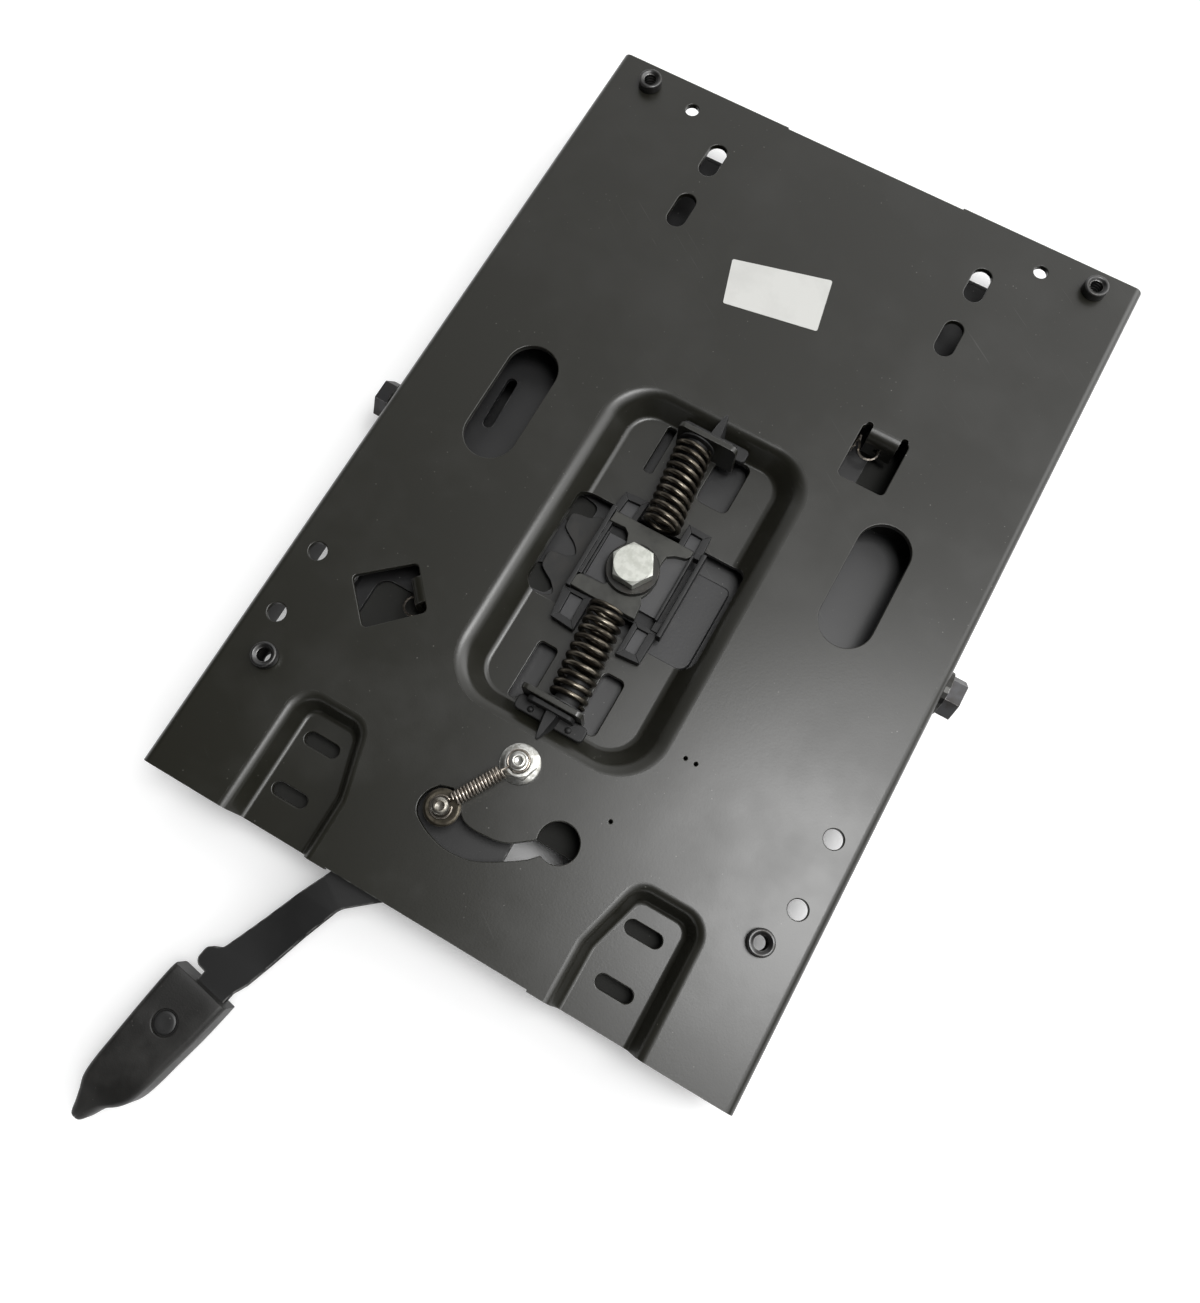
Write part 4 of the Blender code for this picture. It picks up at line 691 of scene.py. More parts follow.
# The lever's slot: its two long edges, and the key hole that the pin goes in by
ARC_SLOT_OUTER = [(-24.5, -151.5), (-27.6, -155.5), (-28.8, -160.5), (-27.4, -165.0), (-23.3, -168.1),
                  (-17.5, -170.6), (-11.0, -172.2), (-4.3, -172.2), (2.0, -171.0), (8.0, -168.2),
                  (13.7, -164.8), (18.0, -162.0), (21.6, -159.4)]
ARC_SLOT_INNER = [(16.6, -154.4), (12.0, -157.6), (7.0, -159.4), (1.4, -160.0), (-4.0, -160.2),
                  (-9.0, -159.0), (-12.4, -155.8), (-14.6, -152.2), (-19.4, -150.0)]
SLOT_HOLE = (29.0, -147.8)
SLOT_HOLE_RADIUS = 8.7
SLOT_HOLE_SWEEP = (-116.0, 201.0)

SQUARE_WINDOW = [(54.6, 51.5), (77.0, 51.5), (77.0, 79.5), (54.6, 79.5)]
DIAMOND_WINDOW = [(-105.4, -93.6), (-88.7, -111.3), (-68.5, -91.7), (-83.6, -74.9)]
DIAMOND_ALONG = (-0.668, 0.744)
DIAMOND_INWARD = (-0.744, -0.668)
# Where each light spring hooks into its lug, and the lug's headings along its edge and into the window
HOOKS = [((62.0, 75.6), (1.0, 0.0), (0.0, -1.0)), ((-75.95, -89.26), DIAMOND_ALONG, DIAMOND_INWARD)]
HOOK_Z = 32.5
SPRING_PEGS = ((18.0, 74.0), (-55.1, -114.88))

# Openings of the right side, which the left side has too: places, then radii; a slot is given by its y span
SCREW_HOLE = (92.0, 189.1)
SCREW_HOLE_RADIUS = 3.3
FIXING_SLOT_X = 69.5
FIXING_SLOTS = ((163.5, 173.2), (131.5, 141.7))
FIXING_SLOT_RADIUS = 4.6
ACCESS_WINDOW_X = 88.3
ACCESS_WINDOW = (-7.0, 29.0)
ACCESS_WINDOW_RADIUS = 12.1
FRONT_HOLE_X = 124.3
FRONT_HOLES = (-91.7, -123.3)
FRONT_HOLE_RADIUS = 4.2
COLLAR_BORE = 4.9
SIDE_BOLT_BORE = 5.3
AXLE_BORE = 3.4
# Three pin-sized datum holes
DATUM_HOLES = ((57.0, -92.4), (61.8, -92.4), (43.0, -130.0))
DATUM_RADIUS = 0.75
WINDOW_CORNER = 2.2

# Openings of the recess floor, two behind the block and two before it: corners, their radii and arc steps
RECESS_OPENINGS = [([(-22.5, 15.5), (-18.3, 15.5), (-18.3, 40.3), (-22.5, 40.3)], 1.2, 4),
                   ([(4.8, 14.5), (20.0, 14.5), (20.0, 40.3), (4.8, 40.3)], 3.0, 5),
                   ([(-22.4, -104.0), (-19.6, -104.0), (-13.2, -95.0), (-13.2, -76.2), (-22.4, -76.2)],
                    [1.4, 1.4, 3.0, 2.0, 2.0], 5),
                   ([(9.0, -102.0), (19.1, -102.0), (19.1, -74.7), (9.0, -74.7)], 2.4, 5)]
# The opening for the block: its middle, half sizes and corner radius
BLOCK_OPENING = (0.0, ISOLATOR_Y, 41.5, 26.5, 6.0)
# The sheet's ends are cut back a little at their middle
END_TRIMS = ([(-46.0, 202.2), (46.5, 202.2), (47.0, 204.0), (-46.5, 204.0)],
             [(-47.5, -204.0), (47.0, -204.0), (46.5, -202.2), (-47.0, -202.2)])

# The upright lugs in x and z, and the rolled lugs by the ends of their edges
TAB_SPAN = (-16.0, 12.6)
TAB_ROOT = 29.5
TAB_TOP = 50.0
SQUARE_LUG = ((58.8, 79.5), (72.8, 79.5))
DIAMOND_LUG_SHARES = (0.26, 0.78)
# The reliefs at the ends of the square window's lug: middles in x, then middle in y, half sizes, radius
RELIEF_ROWS = (57.2, 74.4)
RELIEF = (79.2, 1.6, 2.1, 1.5)
# A window lug in section: how far into the window and how far above the tray's top
LUG_ROLL = [(-1.5, -1.25), (0.3, -1.25), (1.6, -1.55), (2.7, -2.3), (3.5, -3.5), (3.85, -4.8), (3.9, -6.5),
            (3.9, -14.5)]
LUG_HALF_SHEET = 1.15


def curved(points, steps=4):
    """A smooth open line through the points."""
    last = len(points) - 1
    line = []
    for i in range(last):
        p = [Vector(points[min(max(i + k, 0), last)]) for k in (-1, 0, 1, 2)]
        for k in range(steps):
            t = k / steps
            spot = 0.5 * (2 * p[1] + (p[2] - p[0]) * t + (2 * p[0] - 5 * p[1] + 4 * p[2] - p[3]) * t * t
                          + (3 * p[1] - p[0] - 3 * p[2] + p[3]) * t ** 3)
            line.append(tuple(spot))
    line.append(tuple(points[-1]))
    return line


def arc_slot():
    """The lever's slot with its key hole, as one outline."""
    low, high = SLOT_HOLE_SWEEP
    hole = []
    for i in range(41):
        angle = math.radians(low + (high - low) * i / 40)
        hole.append((SLOT_HOLE[0] + SLOT_HOLE_RADIUS * math.cos(angle),
                     SLOT_HOLE[1] + SLOT_HOLE_RADIUS * math.sin(angle)))
    return curved(ARC_SLOT_OUTER) + hole + curved(ARC_SLOT_INNER)


def pressed_profile(depth, inset, rim, floor, slope, under):
    """Rows of (inset, depth) down a pressed wall: rim arc, straight wall at 'slope', floor arc.

    With 'under' the rows follow the sheet's lower face.
    """
    rim_radius = rim - SHEET if under else rim
    floor_radius = floor + SHEET if under else floor
    rows = []
    for i in range(9):
        angle = slope * i / 8
        rows.append((rim_radius * math.sin(angle), rim - rim_radius * math.cos(angle)))
    for i in range(9):
        angle = slope * (1.0 - i / 8)
        rows.append((inset - floor_radius * math.sin(angle), depth - floor + floor_radius * math.cos(angle)))
    if under:
        # this tool is joined on, so it starts inside the sheet, outside the rim
        return [(-3.0, SHEET * 0.6), (-2.99, SHEET * 0.98)] + rows
    # this tool is taken away, so it starts above the sheet
    return [(-0.5, -0.5), (0.0, 0.02)] + rows[1:]


def between(rim, floor, share, depth):
    """The outline of a pressed wall part of the way from its rim to its floor."""
    outline = [(a[0] + (b[0] - a[0]) * share, a[1] + (b[1] - a[1]) * share) for a, b in zip(rim, floor)]
    return level(outline, TRAY_TOP - depth)


def recess_ring(inset, depth):
    """The outline of the recess at one row of its wall."""
    return between(round_corners(RECESS_RIM, RECESS_RIM_RADII, 14),
                   round_corners(RECESS_FLOOR_EDGE, RECESS_FLOOR_RADII, 14), inset / RECESS_INSET, depth)


def pocket_ring(inset, depth, side):
    """The outline of a pocket at one row of its wall."""
    rim = round_corners(POCKET_RIM, POCKET_RIM_RADII, 8)
    floor = round_corners(POCKET_FLOOR, POCKET_FLOOR_RADII, 8)
    if side < 0:
        rim, floor = mirrored(rim), mirrored(floor)
    return between(rim, floor, inset / POCKET_INSET, depth)


def tray_section():
    """The flanged sheet in x and z: the outer face with its bends, then the inner face back."""
    half = TRAY_HALF_WIDTH
    outer = [(half - 0.3, FLANGE_EDGE), (half, FLANGE_EDGE + 0.3)]
    inner = [(half - SHEET + 0.3, FLANGE_EDGE), (half - SHEET, FLANGE_EDGE + 0.3)]
    for i in range(13):
        angle = math.pi / 2 * i / 12
        for face, radius in ((outer, TRAY_BEND), (inner, TRAY_BEND - SHEET)):
            face.append((half - TRAY_BEND + radius * math.cos(angle),
                         TRAY_TOP - TRAY_BEND + radius * math.sin(angle)))
    section = outer + [(-x, z) for x, z in reversed(outer)]
    return section + [(-x, z) for x, z in inner] + list(reversed(inner))


def spring_tab(bm, face, away):
    """An upright lug with broken edges, lanced up from the recess floor."""
    x0, x1 = TAB_SPAN
    corners = [(x0, TAB_ROOT), (x1, TAB_ROOT), (x1, TAB_TOP), (x0, TAB_TOP)]
    upright_plate(bm, round_corners(corners, [0, 0, 3.0, 3.0], 5), face, face + away * SHEET, 0.4)


def window_lug(bm, start, end, inward):
    """The lug that is rolled down from one edge of a window."""
    rings = []
    for i, (out, drop) in enumerate(LUG_ROLL):
        a = LUG_ROLL[max(i - 1, 0)]
        b = LUG_ROLL[min(i + 1, len(LUG_ROLL) - 1)]
        length = math.hypot(b[0] - a[0], b[1] - a[1])
        nx = -(b[1] - a[1]) / length * LUG_HALF_SHEET
        nz = (b[0] - a[0]) / length * LUG_HALF_SHEET
        rings.append([(point[0] + inward[0] * (out + nx * sign), point[1] + inward[1] * (out + nx * sign),
                       TRAY_TOP + drop + nz * sign)
                      for point, sign in ((start, 1), (end, 1), (end, -1), (start, -1))])
    loft(bm, rings)


def side_openings(side):
    """The openings in the flat of the sheet that both of its sides have."""
    openings = [circle(side * SCREW_HOLE[0], SCREW_HOLE[1], SCREW_HOLE_RADIUS, 28)]
    x = side * FIXING_SLOT_X
    openings += [obround(x, y0, x, y1, FIXING_SLOT_RADIUS) for y0, y1 in FIXING_SLOTS]
    x = side * ACCESS_WINDOW_X
    openings.append(obround(x, ACCESS_WINDOW[0], x, ACCESS_WINDOW[1], ACCESS_WINDOW_RADIUS, 20))
    openings += [circle(side * FRONT_HOLE_X, y, FRONT_HOLE_RADIUS, 32) for y in FRONT_HOLES]
    openings += [circle(side * COLLAR_X, y, COLLAR_BORE, 32) for y in COLLAR_ROWS.values()]
    return openings


def tray_openings():
    """Outline and upper level of every opening that is punched in the tray."""
    openings = []
    for side in (1, -1):
        openings += [(outline, TRAY_TOP) for outline in side_openings(side)]
        middle = side * POCKET_SLOT_X - POCKET_SLOT_LEFT
        for y in POCKET_SLOT_ROWS:
            slot = obround(middle - POCKET_SLOT_HALF, y, middle + POCKET_SLOT_HALF, y, POCKET_SLOT_RADIUS)
            openings.append((slot, TRAY_TOP - POCKET_DEPTH))
    for window in (SQUARE_WINDOW, DIAMOND_WINDOW):
        openings.append((round_corners(window, WINDOW_CORNER, 5), TRAY_TOP))
    openings += [(circle(*PIVOT, PIVOT_BORE, 32), TRAY_TOP), (arc_slot(), TRAY_TOP)]
    openings += [(round_corners(*opening), RECESS_FLOOR) for opening in RECESS_OPENINGS]
    openings += [(circle(x, y, DATUM_RADIUS, 12), TRAY_TOP) for x, y in DATUM_HOLES]
    return openings


def press_tray(tray):
    """The recess and the two pockets: lower faces joined on first, then the hollows taken out."""
    for under, operation in ((True, "UNION"), (False, "DIFFERENCE")):
        bm = bmesh.new()
        loft(bm, [recess_ring(*row) for row in pressed_profile(under=under, **RECESS_WALL)])
        for side in (1, -1):
            loft(bm, [pocket_ring(*row, side) for row in pressed_profile(under=under, **POCKET_WALL)])
        combine(tray, raw_piece("pressing", bm), operation)
    # the pockets run on past the front edge
    bm = bmesh.new()
    box(bm, -150, 150, -216, -TRAY_HALF_LENGTH, 0, 60)
    combine(tray, raw_piece("front_trim", bm), "DIFFERENCE")


def punch_tray(tray):
    """Every opening of the tray: the punched ones with a rolled edge, then the plain ones."""
    bm = bmesh.new()
    for outline, top in tray_openings():
        punch(bm, outline, top)
    prism(bm, rounded_box(*BLOCK_OPENING), 20, 60)
    combine(tray, raw_piece("punched_openings", bm), "DIFFERENCE")

    bm = bmesh.new()
    for outline in END_TRIMS:
        prism(bm, outline, 20, 60)
    for x in RELIEF_ROWS:
        prism(bm, rounded_box(x, *RELIEF, 5), 30, 60)
    for side in (1, -1):
        for y, z, radius in [(*SIDE_BOLT, SIDE_BOLT_BORE)] + [(y, AXLE_Z, AXLE_BORE) for y in AXLE_ROWS]:
            turned(bm, [(side * 131.0, radius), (side * 141.0, radius)], (0.0, y, z), "x", 24)
    combine(tray, raw_piece("plain_openings", bm), "DIFFERENCE")


def lance_tray(tray):
    """The upright lugs of the recess, the rolled lugs of the windows, the pegs, and the lugs' holes."""
    bm = bmesh.new()
    spring_tab(bm, ISOLATOR_Y + TAB_FACE, 1)
    spring_tab(bm, ISOLATOR_Y - TAB_FACE, -1)
    window_lug(bm, *SQUARE_LUG, (0.0, -1.0))
    a, b = Vector(DIAMOND_WINDOW[3]), Vector(DIAMOND_WINDOW[2])
    window_lug(bm, *[tuple(a.lerp(b, share)) for share in DIAMOND_LUG_SHARES], DIAMOND_INWARD)
    for x, y in SPRING_PEGS:
        turned(bm, [(-1.2, 2.2), (10.5, 2.2)], (x, y, 30.0), "z", 20)
    combine(tray, raw_piece("lugs", bm), "UNION")

    bm = bmesh.new()
    turned(bm, [(-3, 4.0), (7, 4.0)], (GUIDE_NECKS["rear"], ISOLATOR_Y + TAB_FACE - 2, SPRING_AXIS), "y", 24)
    turned(bm, [(-7, 4.0), (3, 4.0)], (GUIDE_NECKS["front"], ISOLATOR_Y - TAB_FACE + 2, SPRING_AXIS), "y", 24)
    for hook, along, inward in HOOKS:
        x = hook[0] + along[0] * 3.7
        y = hook[1] + along[1] * 3.7
        ends = [(x + inward[0] * reach, y + inward[1] * reach, HOOK_Z) for reach in (-3, 3)]
        swept(bm, ends, 2.2, 16)
    combine(tray, raw_piece("lug_holes", bm), "DIFFERENCE")


def build_tray():
    """The pressed and punched tray, in one piece with its flanges and lugs."""
    bm = bmesh.new()
    extrude_y(bm, tray_section(), -TRAY_HALF_LENGTH, TRAY_HALF_LENGTH)
    tray = raw_piece("tray_sheet", bm)
    press_tray(tray)
    punch_tray(tray)
    lance_tray(tray)
    settle(tray, 30.0)
    dress(tray, TRAY_PAINT, "top_tray", ("top_plate",))


# The isolator on the lower frame

BOLT = (-1.9, -31.4)
BOLT_FLATS = 17.0
BOLT_TURN = math.radians(-3.0)
BOLT_HEAD = (42.3, 48.9)
BLOCK_BOTTOM = 31.5
BLOCK_TOP = 39.5
RIB_FOOT = 33.0
EAR_TOP = 36.4
EAR_FLOOR = 33.9

# Floor of the block, then its long outer walls and ribs: spans in x, y and z, and the broken edge
BLOCK_WALLS = [((-23.6, 17.4), (-50.4, -9.6), (BLOCK_BOTTOM, 33.6), 0.35),
               ((-24.3, -22.2), (-50.6, -8.8), (BLOCK_BOTTOM, BLOCK_TOP), 0.4),
               ((-23.4, -20.6), (-43.0, -15.6), (RIB_FOOT, 38.3), 0.4),
               ((-20.3, -19.3), (-43.4, -20.4), (RIB_FOOT, 38.9), 0.25),
               ((-20.3, -9.0), (-44.0, -42.4), (RIB_FOOT, 38.9), 0.25),
               ((17.0, 18.1), (-46.0, -12.6), (RIB_FOOT, BLOCK_TOP), 0.3),
               ((20.9, 23.0), (-52.0, -9.6), (BLOCK_BOTTOM, BLOCK_TOP), 0.5),
               ((17.6, 21.6), (-50.4, -46.2), (BLOCK_BOTTOM, 37.6), 0.4),
               ((17.6, 21.6), (-12.6, -9.6), (BLOCK_BOTTOM, 37.6), 0.4)]
BLOCK_SEAT = ((-19.0, 15.0), (-44.0, -20.0), (LOWER_TOP + 0.3, BLOCK_BOTTOM + 1.0), 0.3)
# The grey floors of the two pockets beside the web: spans in x and y, and the top
POCKET_FLOORS = [((7.0, 17.2), (-44.8, -14.2), 36.2), ((-21.0, -9.0), (-43.0, -20.0), 36.4)]
# The four feet of the block: outline and window
FEET = [([(-25.0, -51.0), (-23.2, -65.6), (-11.6, -66.6), (-11.4, -50.0)],
         [(-21.0, -52.2), (-20.6, -62.6), (-14.4, -63.2), (-14.6, -52.2)]),
        ([(9.6, -50.0), (9.5, -66.6), (20.4, -65.7), (21.0, -50.0)],
         [(12.0, -52.0), (11.9, -63.2), (17.2, -62.9), (17.4, -52.0)]),
        ([(-24.6, -12.0), (-12.2, -12.0), (-11.4, 1.4), (-23.0, 0.6)],
         [(-21.0, -9.4), (-14.6, -9.4), (-14.1, -2.0), (-20.4, -2.4)]),
        ([(9.0, -12.0), (21.0, -12.0), (20.3, 0.2), (9.0, 0.6)],
         [(11.6, -9.4), (17.4, -9.4), (17.2, -2.6), (11.6, -2.4)])]

# The web that carries the bolt: its right edge follows the bolt, its left edge leaves a deep pocket
WEB_FRONT = [(-13.0, -50.2), (8.9, -50.2)]
WEB_RIGHT = [(9.4, -49.9), (9.0, -45.6), (8.6, -42.6), (7.3, -40.4), (8.6, -37.8), (9.5, -34.6), (9.8, -31.0),
             (9.2, -27.6), (7.6, -25.2), (7.4, -22.0), (7.9, -18.6), (11.0, -16.6), (15.6, -15.3),
             (17.0, -13.6), (17.0, -11.0), (9.4, -10.6)]
WEB_LEFT = [(-13.6, -10.6), (-21.6, -10.8), (-22.0, -15.9), (-14.4, -15.6), (-12.0, -17.4), (-10.8, -20.5),
            (-9.0, -31.0), (-7.8, -40.4), (-10.0, -42.9), (-20.8, -43.5), (-22.2, -45.0), (-22.4, -49.9)]

# The comb: one lobe of its scalloped edge, the valley after it, and the step from lobe to lobe
COMB_LOBE = [(-30.2, -11.7), (-32.8, -14.1), (-36.4, -14.9), (-40.1, -15.6), (-41.4, -17.3), (-41.3, -20.7)]
COMB_VALLEY = [(-40.6, -23.6), (-37.0, -26.2), (-33.2, -28.6)]
COMB_PITCH = 20.9
COMB_LOBES = 3
COMB_BACK = [(-40.2, -63.5), (-22.0, -63.5), (-22.0, -12.0)]
SHOE_CORNERS = [(15.0, -57.9), (39.0, -57.9), (39.0, -14.0), (15.0, -14.0)]

# Sheets under the tray: spans in x, y and z; the first lies under a pocket, on both sides. The first two are
# painted shade, dull black sheets set where the view through the tray finds only shade; the third is the
# lower frame's rear lip
POCKET_SHADE_SHEET = ((55.0, 101.0), (-192.0, -146.6), (LOWER_TOP - 2.6, LOWER_TOP - 0.3))
KEY_HOLE_SHADE_SHEET = ((15.0, 52.0), (-150.6, -133.0), (LOWER_TOP + 0.25, LOWER_TOP + 1.1))
REAR_LIP = ((-84.0, 84.0), (182.2, 184.5), (LOWER_TOP - 2.6, LOWER_TOP - 0.3))
# Painted shade: dull black sheets below the frame's own openings, under both windows and the comb, where the
# view finds only shade
CLOSING_SHADE_SPAN = (LOWER_TOP - 5.4, LOWER_TOP - 2.7)
CLOSING_SHADE_SHEETS = (((61.0, 94.0), (38.0, 101.0)), ((-104.0, -68.0), (-132.0, -80.0)),
                  ((-48.0, -28.0), (-60.0, -2.0)))


def bar(bm, x_span, y_span, z_span, edge=0.35):
    """A straight wall or sheet with broken edges."""
    (x0, x1), (y0, y1) = x_span, y_span
    soft_prism(bm, [(x0, y0), (x1, y0), (x1, y1), (x0, y1)], *z_span, edge, 2)


def ear(bm, outline, window):
    """A foot of the block with a sunk window; both outlines are four corners, walls go round the window."""
    outer = round_corners(outline, 0.9, 3)
    soft_prism(bm, outer, BLOCK_BOTTOM, EAR_FLOOR, 0.2, 2)
    for i in range(4):
        j = (i + 1) % 4
        soft_prism(bm, [outline[i], outline[j], window[j], window[i]], EAR_FLOOR - 0.5, EAR_TOP, 0.3, 2)


def build_block():
    """The moulded block: floor, walls, ribs and feet, and its seat down to the lower frame."""
    bm = bmesh.new()
    for wall in BLOCK_WALLS:
        bar(bm, *wall)
    for outline, window in FEET:
        ear(bm, outline, window)
    bar(bm, *BLOCK_SEAT)
    finished("isolator_block_ribbed", bm, 40.0, BLOCK_PLASTIC, "lower_frame",
             ("isolator_block",))


def build_pocket_floors():
    """The dusty grey floors of the block's pockets and of the windows in its feet."""
    bm = bmesh.new()
    for x_span, y_span, top in POCKET_FLOORS:
        bar(bm, x_span, y_span, (RIB_FOOT, top), 0.2)
    for _, window in FEET:
        soft_prism(bm, window, EAR_FLOOR - 0.3, EAR_FLOOR + 0.25, 0.1, 1)
    finished("isolator_pocket_floors", bm, 40.0, POCKET_GREY, "lower_frame", ())


def build_cross_bar():
    """The web on the block that carries the bolt."""
    bm = bmesh.new()
    soft_prism(bm, WEB_FRONT + WEB_RIGHT + WEB_LEFT, 35.0, 39.3, 0.35, 3)
    finished("isolator_cross_bar", bm, 32.0, BAR_STEEL, "lower_frame", ("cross_bar",))


def hexagon_head(name, centre, across_flats, turn, z0, z1, chamfer, segments):
    """A hexagon whose upper corners are turned off by the chamfer's profile."""
    bm = bmesh.new()
    prism(bm, hexagon(*centre, across_flats, turn), z0, z1)
    head = raw_piece(name, bm)
    bm = bmesh.new()
    turned(bm, chamfer, (*centre, 0.0), "z", segments)
    combine(head, raw_piece("chamfer", bm), "INTERSECT")
    return head


def build_centre_bolt():
    """Hexagon head with its turned chamfer, a washer face below it and the shank."""
    z0, z1 = BOLT_HEAD
    corner = BOLT_FLATS / math.sqrt(3.0)
    flat = BOLT_FLATS / 2
    chamfer = [(z0 - 1.0, corner + 1.0), (z1 - (corner - flat) * 0.5 - 0.25, corner + 0.05),
               (z1 - 0.25, flat * 1.01), (z1, flat * 0.975), (z1 + 0.01, flat * 0.3)]
    head = hexagon_head("isolator_bolt_head", BOLT, BOLT_FLATS, BOLT_TURN, z0, z1, chamfer, 72)
    bm = bmesh.new()
    turned(bm, [(z0 - 0.5, 7.9), (z0 + 0.2, 7.9)], (*BOLT, 0.0))
    combine(head, raw_piece("washer_face", bm), "UNION")
    bm = bmesh.new()
    turned(bm, [(7.5, 4.6), (8.4, 5.0), (43.0, 5.0)], (*BOLT, 0.0), "z", 32)
    combine(head, raw_piece("shank", bm), "UNION")
    settle(head, 25.0)
    dress(head, BOLT_ZINC, "lower_frame", ("centre_bolt",))


def build_centre_washer():
    """The dark washer between the web and the bolt's head."""
    bm = bmesh.new()
    turned(bm, [(39.3, 11.6), (39.6, 11.9), (41.2, 11.9), (41.7, 11.4), (41.75, 6.0), (41.2, 5.6),
                (39.6, 5.6), (39.3, 5.8)], (*BOLT, 0.0), "z", 64)
    finished("isolator_washer", bm, 32.0, WASHER_STEEL, "lower_frame", ("centre_washer",))


def build_comb():
    """Scalloped edge of the sheet under the left side of the block, with its three lobes."""
    outline = []
    for k in range(COMB_LOBES):
        wave = COMB_LOBE + (COMB_VALLEY if k < COMB_LOBES - 1 else [])
        outline += [(x, y - COMB_PITCH * k) for x, y in wave]
    bm = bmesh.new()
    soft_prism(bm, curved(outline, 3) + COMB_BACK, LOWER_TOP + 0.25, LOWER_TOP + 1.9, 0.35, 2)
    finished("comb_sheet", bm, 50.0, COMB_STEEL, "lower_frame", ())


def build_shoe():
    """Rounded grey plate at the right of the block, scuffed where the tray has rubbed on it."""
    outline = round_corners(SHOE_CORNERS, [2.0, 6.0, 3.0, 2.0], 8)
    bm = bmesh.new()
    soft_prism(bm, outline, LOWER_TOP + 0.25, LOWER_TOP + 3.6, 0.9, 4)
    finished("lower_slide_shoe", bm, 50.0, SHOE_PLASTIC, "lower_frame", ())


def build_painted_shade_sheets():
    """Painted shade: dull black sheets under the tray's openings, set where the view through them finds only
    shade.
    """
    bm = bmesh.new()
    x_span, y_span, z_span = POCKET_SHADE_SHEET
    bar(bm, x_span, y_span, z_span)
    bar(bm, (-x_span[1], -x_span[0]), y_span, z_span)
    bar(bm, *KEY_HOLE_SHADE_SHEET)
    for x_span, y_span in CLOSING_SHADE_SHEETS:
        bar(bm, x_span, y_span, CLOSING_SHADE_SPAN)
    finished("painted_shade_sheets", bm, 40.0, SHADE_SHEET_BLACK, "lower_frame", ())


def build_rear_lip():
    """The painted rear lip of the lower frame, seen through the tray's rear slots."""
    bm = bmesh.new()
    bar(bm, *REAR_LIP)
    finished("lower_frame_rear_lip", bm, 40.0, FRAME_PAINT, "lower_frame", ())


SPRING_WIRE = 2.5
SPRING_MEAN = 7.7
SPRING_COILS = 11
COIL_START = 0.6
# Each isolator spring from its end at the block to its end at the guide
REAR_SPRING = ((-0.7, -8.6, SPRING_AXIS), (-5.5, 31.8, SPRING_AXIS))
FRONT_SPRING = ((-1.9, -52.4, SPRING_AXIS), (2.6, -95.8, SPRING_AXIS))


def coil_path(start, end, radius, wire, coils, per_turn=30, closed=0.9):
    """Centres of a compression spring's wire: its first and last turns lie closed."""
    total = coils * per_turn
    length = abs(end[1] - start[1])
    closed_share = wire * 1.04 / length
    open_turns = coils - 2.0 * closed
    path = []
    for i in range(total + 1):
        turn = i / per_turn
        if turn < closed:
            share = closed_share * turn
        elif turn > coils - closed:
            share = 1.0 - closed_share * (coils - turn)
        else:
            share = closed_share * closed + (1.0 - 2.0 * closed_share * closed) * (turn - closed) / open_turns
        centre = [start[k] + (end[k] - start[k]) * share for k in range(3)]
        angle = 2.0 * math.pi * turn + COIL_START
        path.append((centre[0] + radius * math.cos(angle), centre[1], centre[2] + radius * math.sin(angle)))
    return path


def build_spring(name, start, end):
    """A compression spring whose wire thins out at both ends, between the block and a guide."""
    bm = bmesh.new()
    path = coil_path(start, end, SPRING_MEAN, SPRING_WIRE, SPRING_COILS)
    swept(bm, path, SPRING_WIRE / 2, 12, lambda t: min(1.0, 0.55 + 16.0 * min(t, 1.0 - t)))
    piece = finished("isolator_" + name, bm, 60.0, SPRING_STEEL, None, (name,),
                     weighted=False)
    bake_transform(piece)


GUIDE_GAP = 0.3
GUIDE_REACH = 83.8
GUIDE_PLATE = [(-12.0, 33.2), (10.0, 33.2), (10.0, 46.6), (-12.0, 46.6)]
# The spigot and its flange, as distance inside the lug and radius
SPIGOT = ((14.0, 4.4), (13.2, 5.2), (1.3, 5.6), (1.1, 8.1), (0.9, 8.4), (0.3, 8.4))
# The tongue from its root to its tip: share of the way, half its width, underside and top
TONGUE = ((0.0, 4.2, 37.0, 43.4), (0.25, 3.9, 37.4, 44.2), (0.45, 3.2, 38.2, 44.4), (0.7, 2.2, 40.0, 44.5),
          (0.92, 1.1, 42.4, 44.3), (1.0, 0.5, 43.2, 44.0))


def guide_tongue(bm, root, tip):
    """The tongue that rises from the guide's plate to the rim of the recess."""
    rings = []
    for share, half, z0, z1 in TONGUE:
        y = root + (tip - root) * share
        rings.append([(-half, y, z0), (half, y, z0), (half * 0.55, y, z1), (-half * 0.55, y, z1)])
    loft(bm, rings)


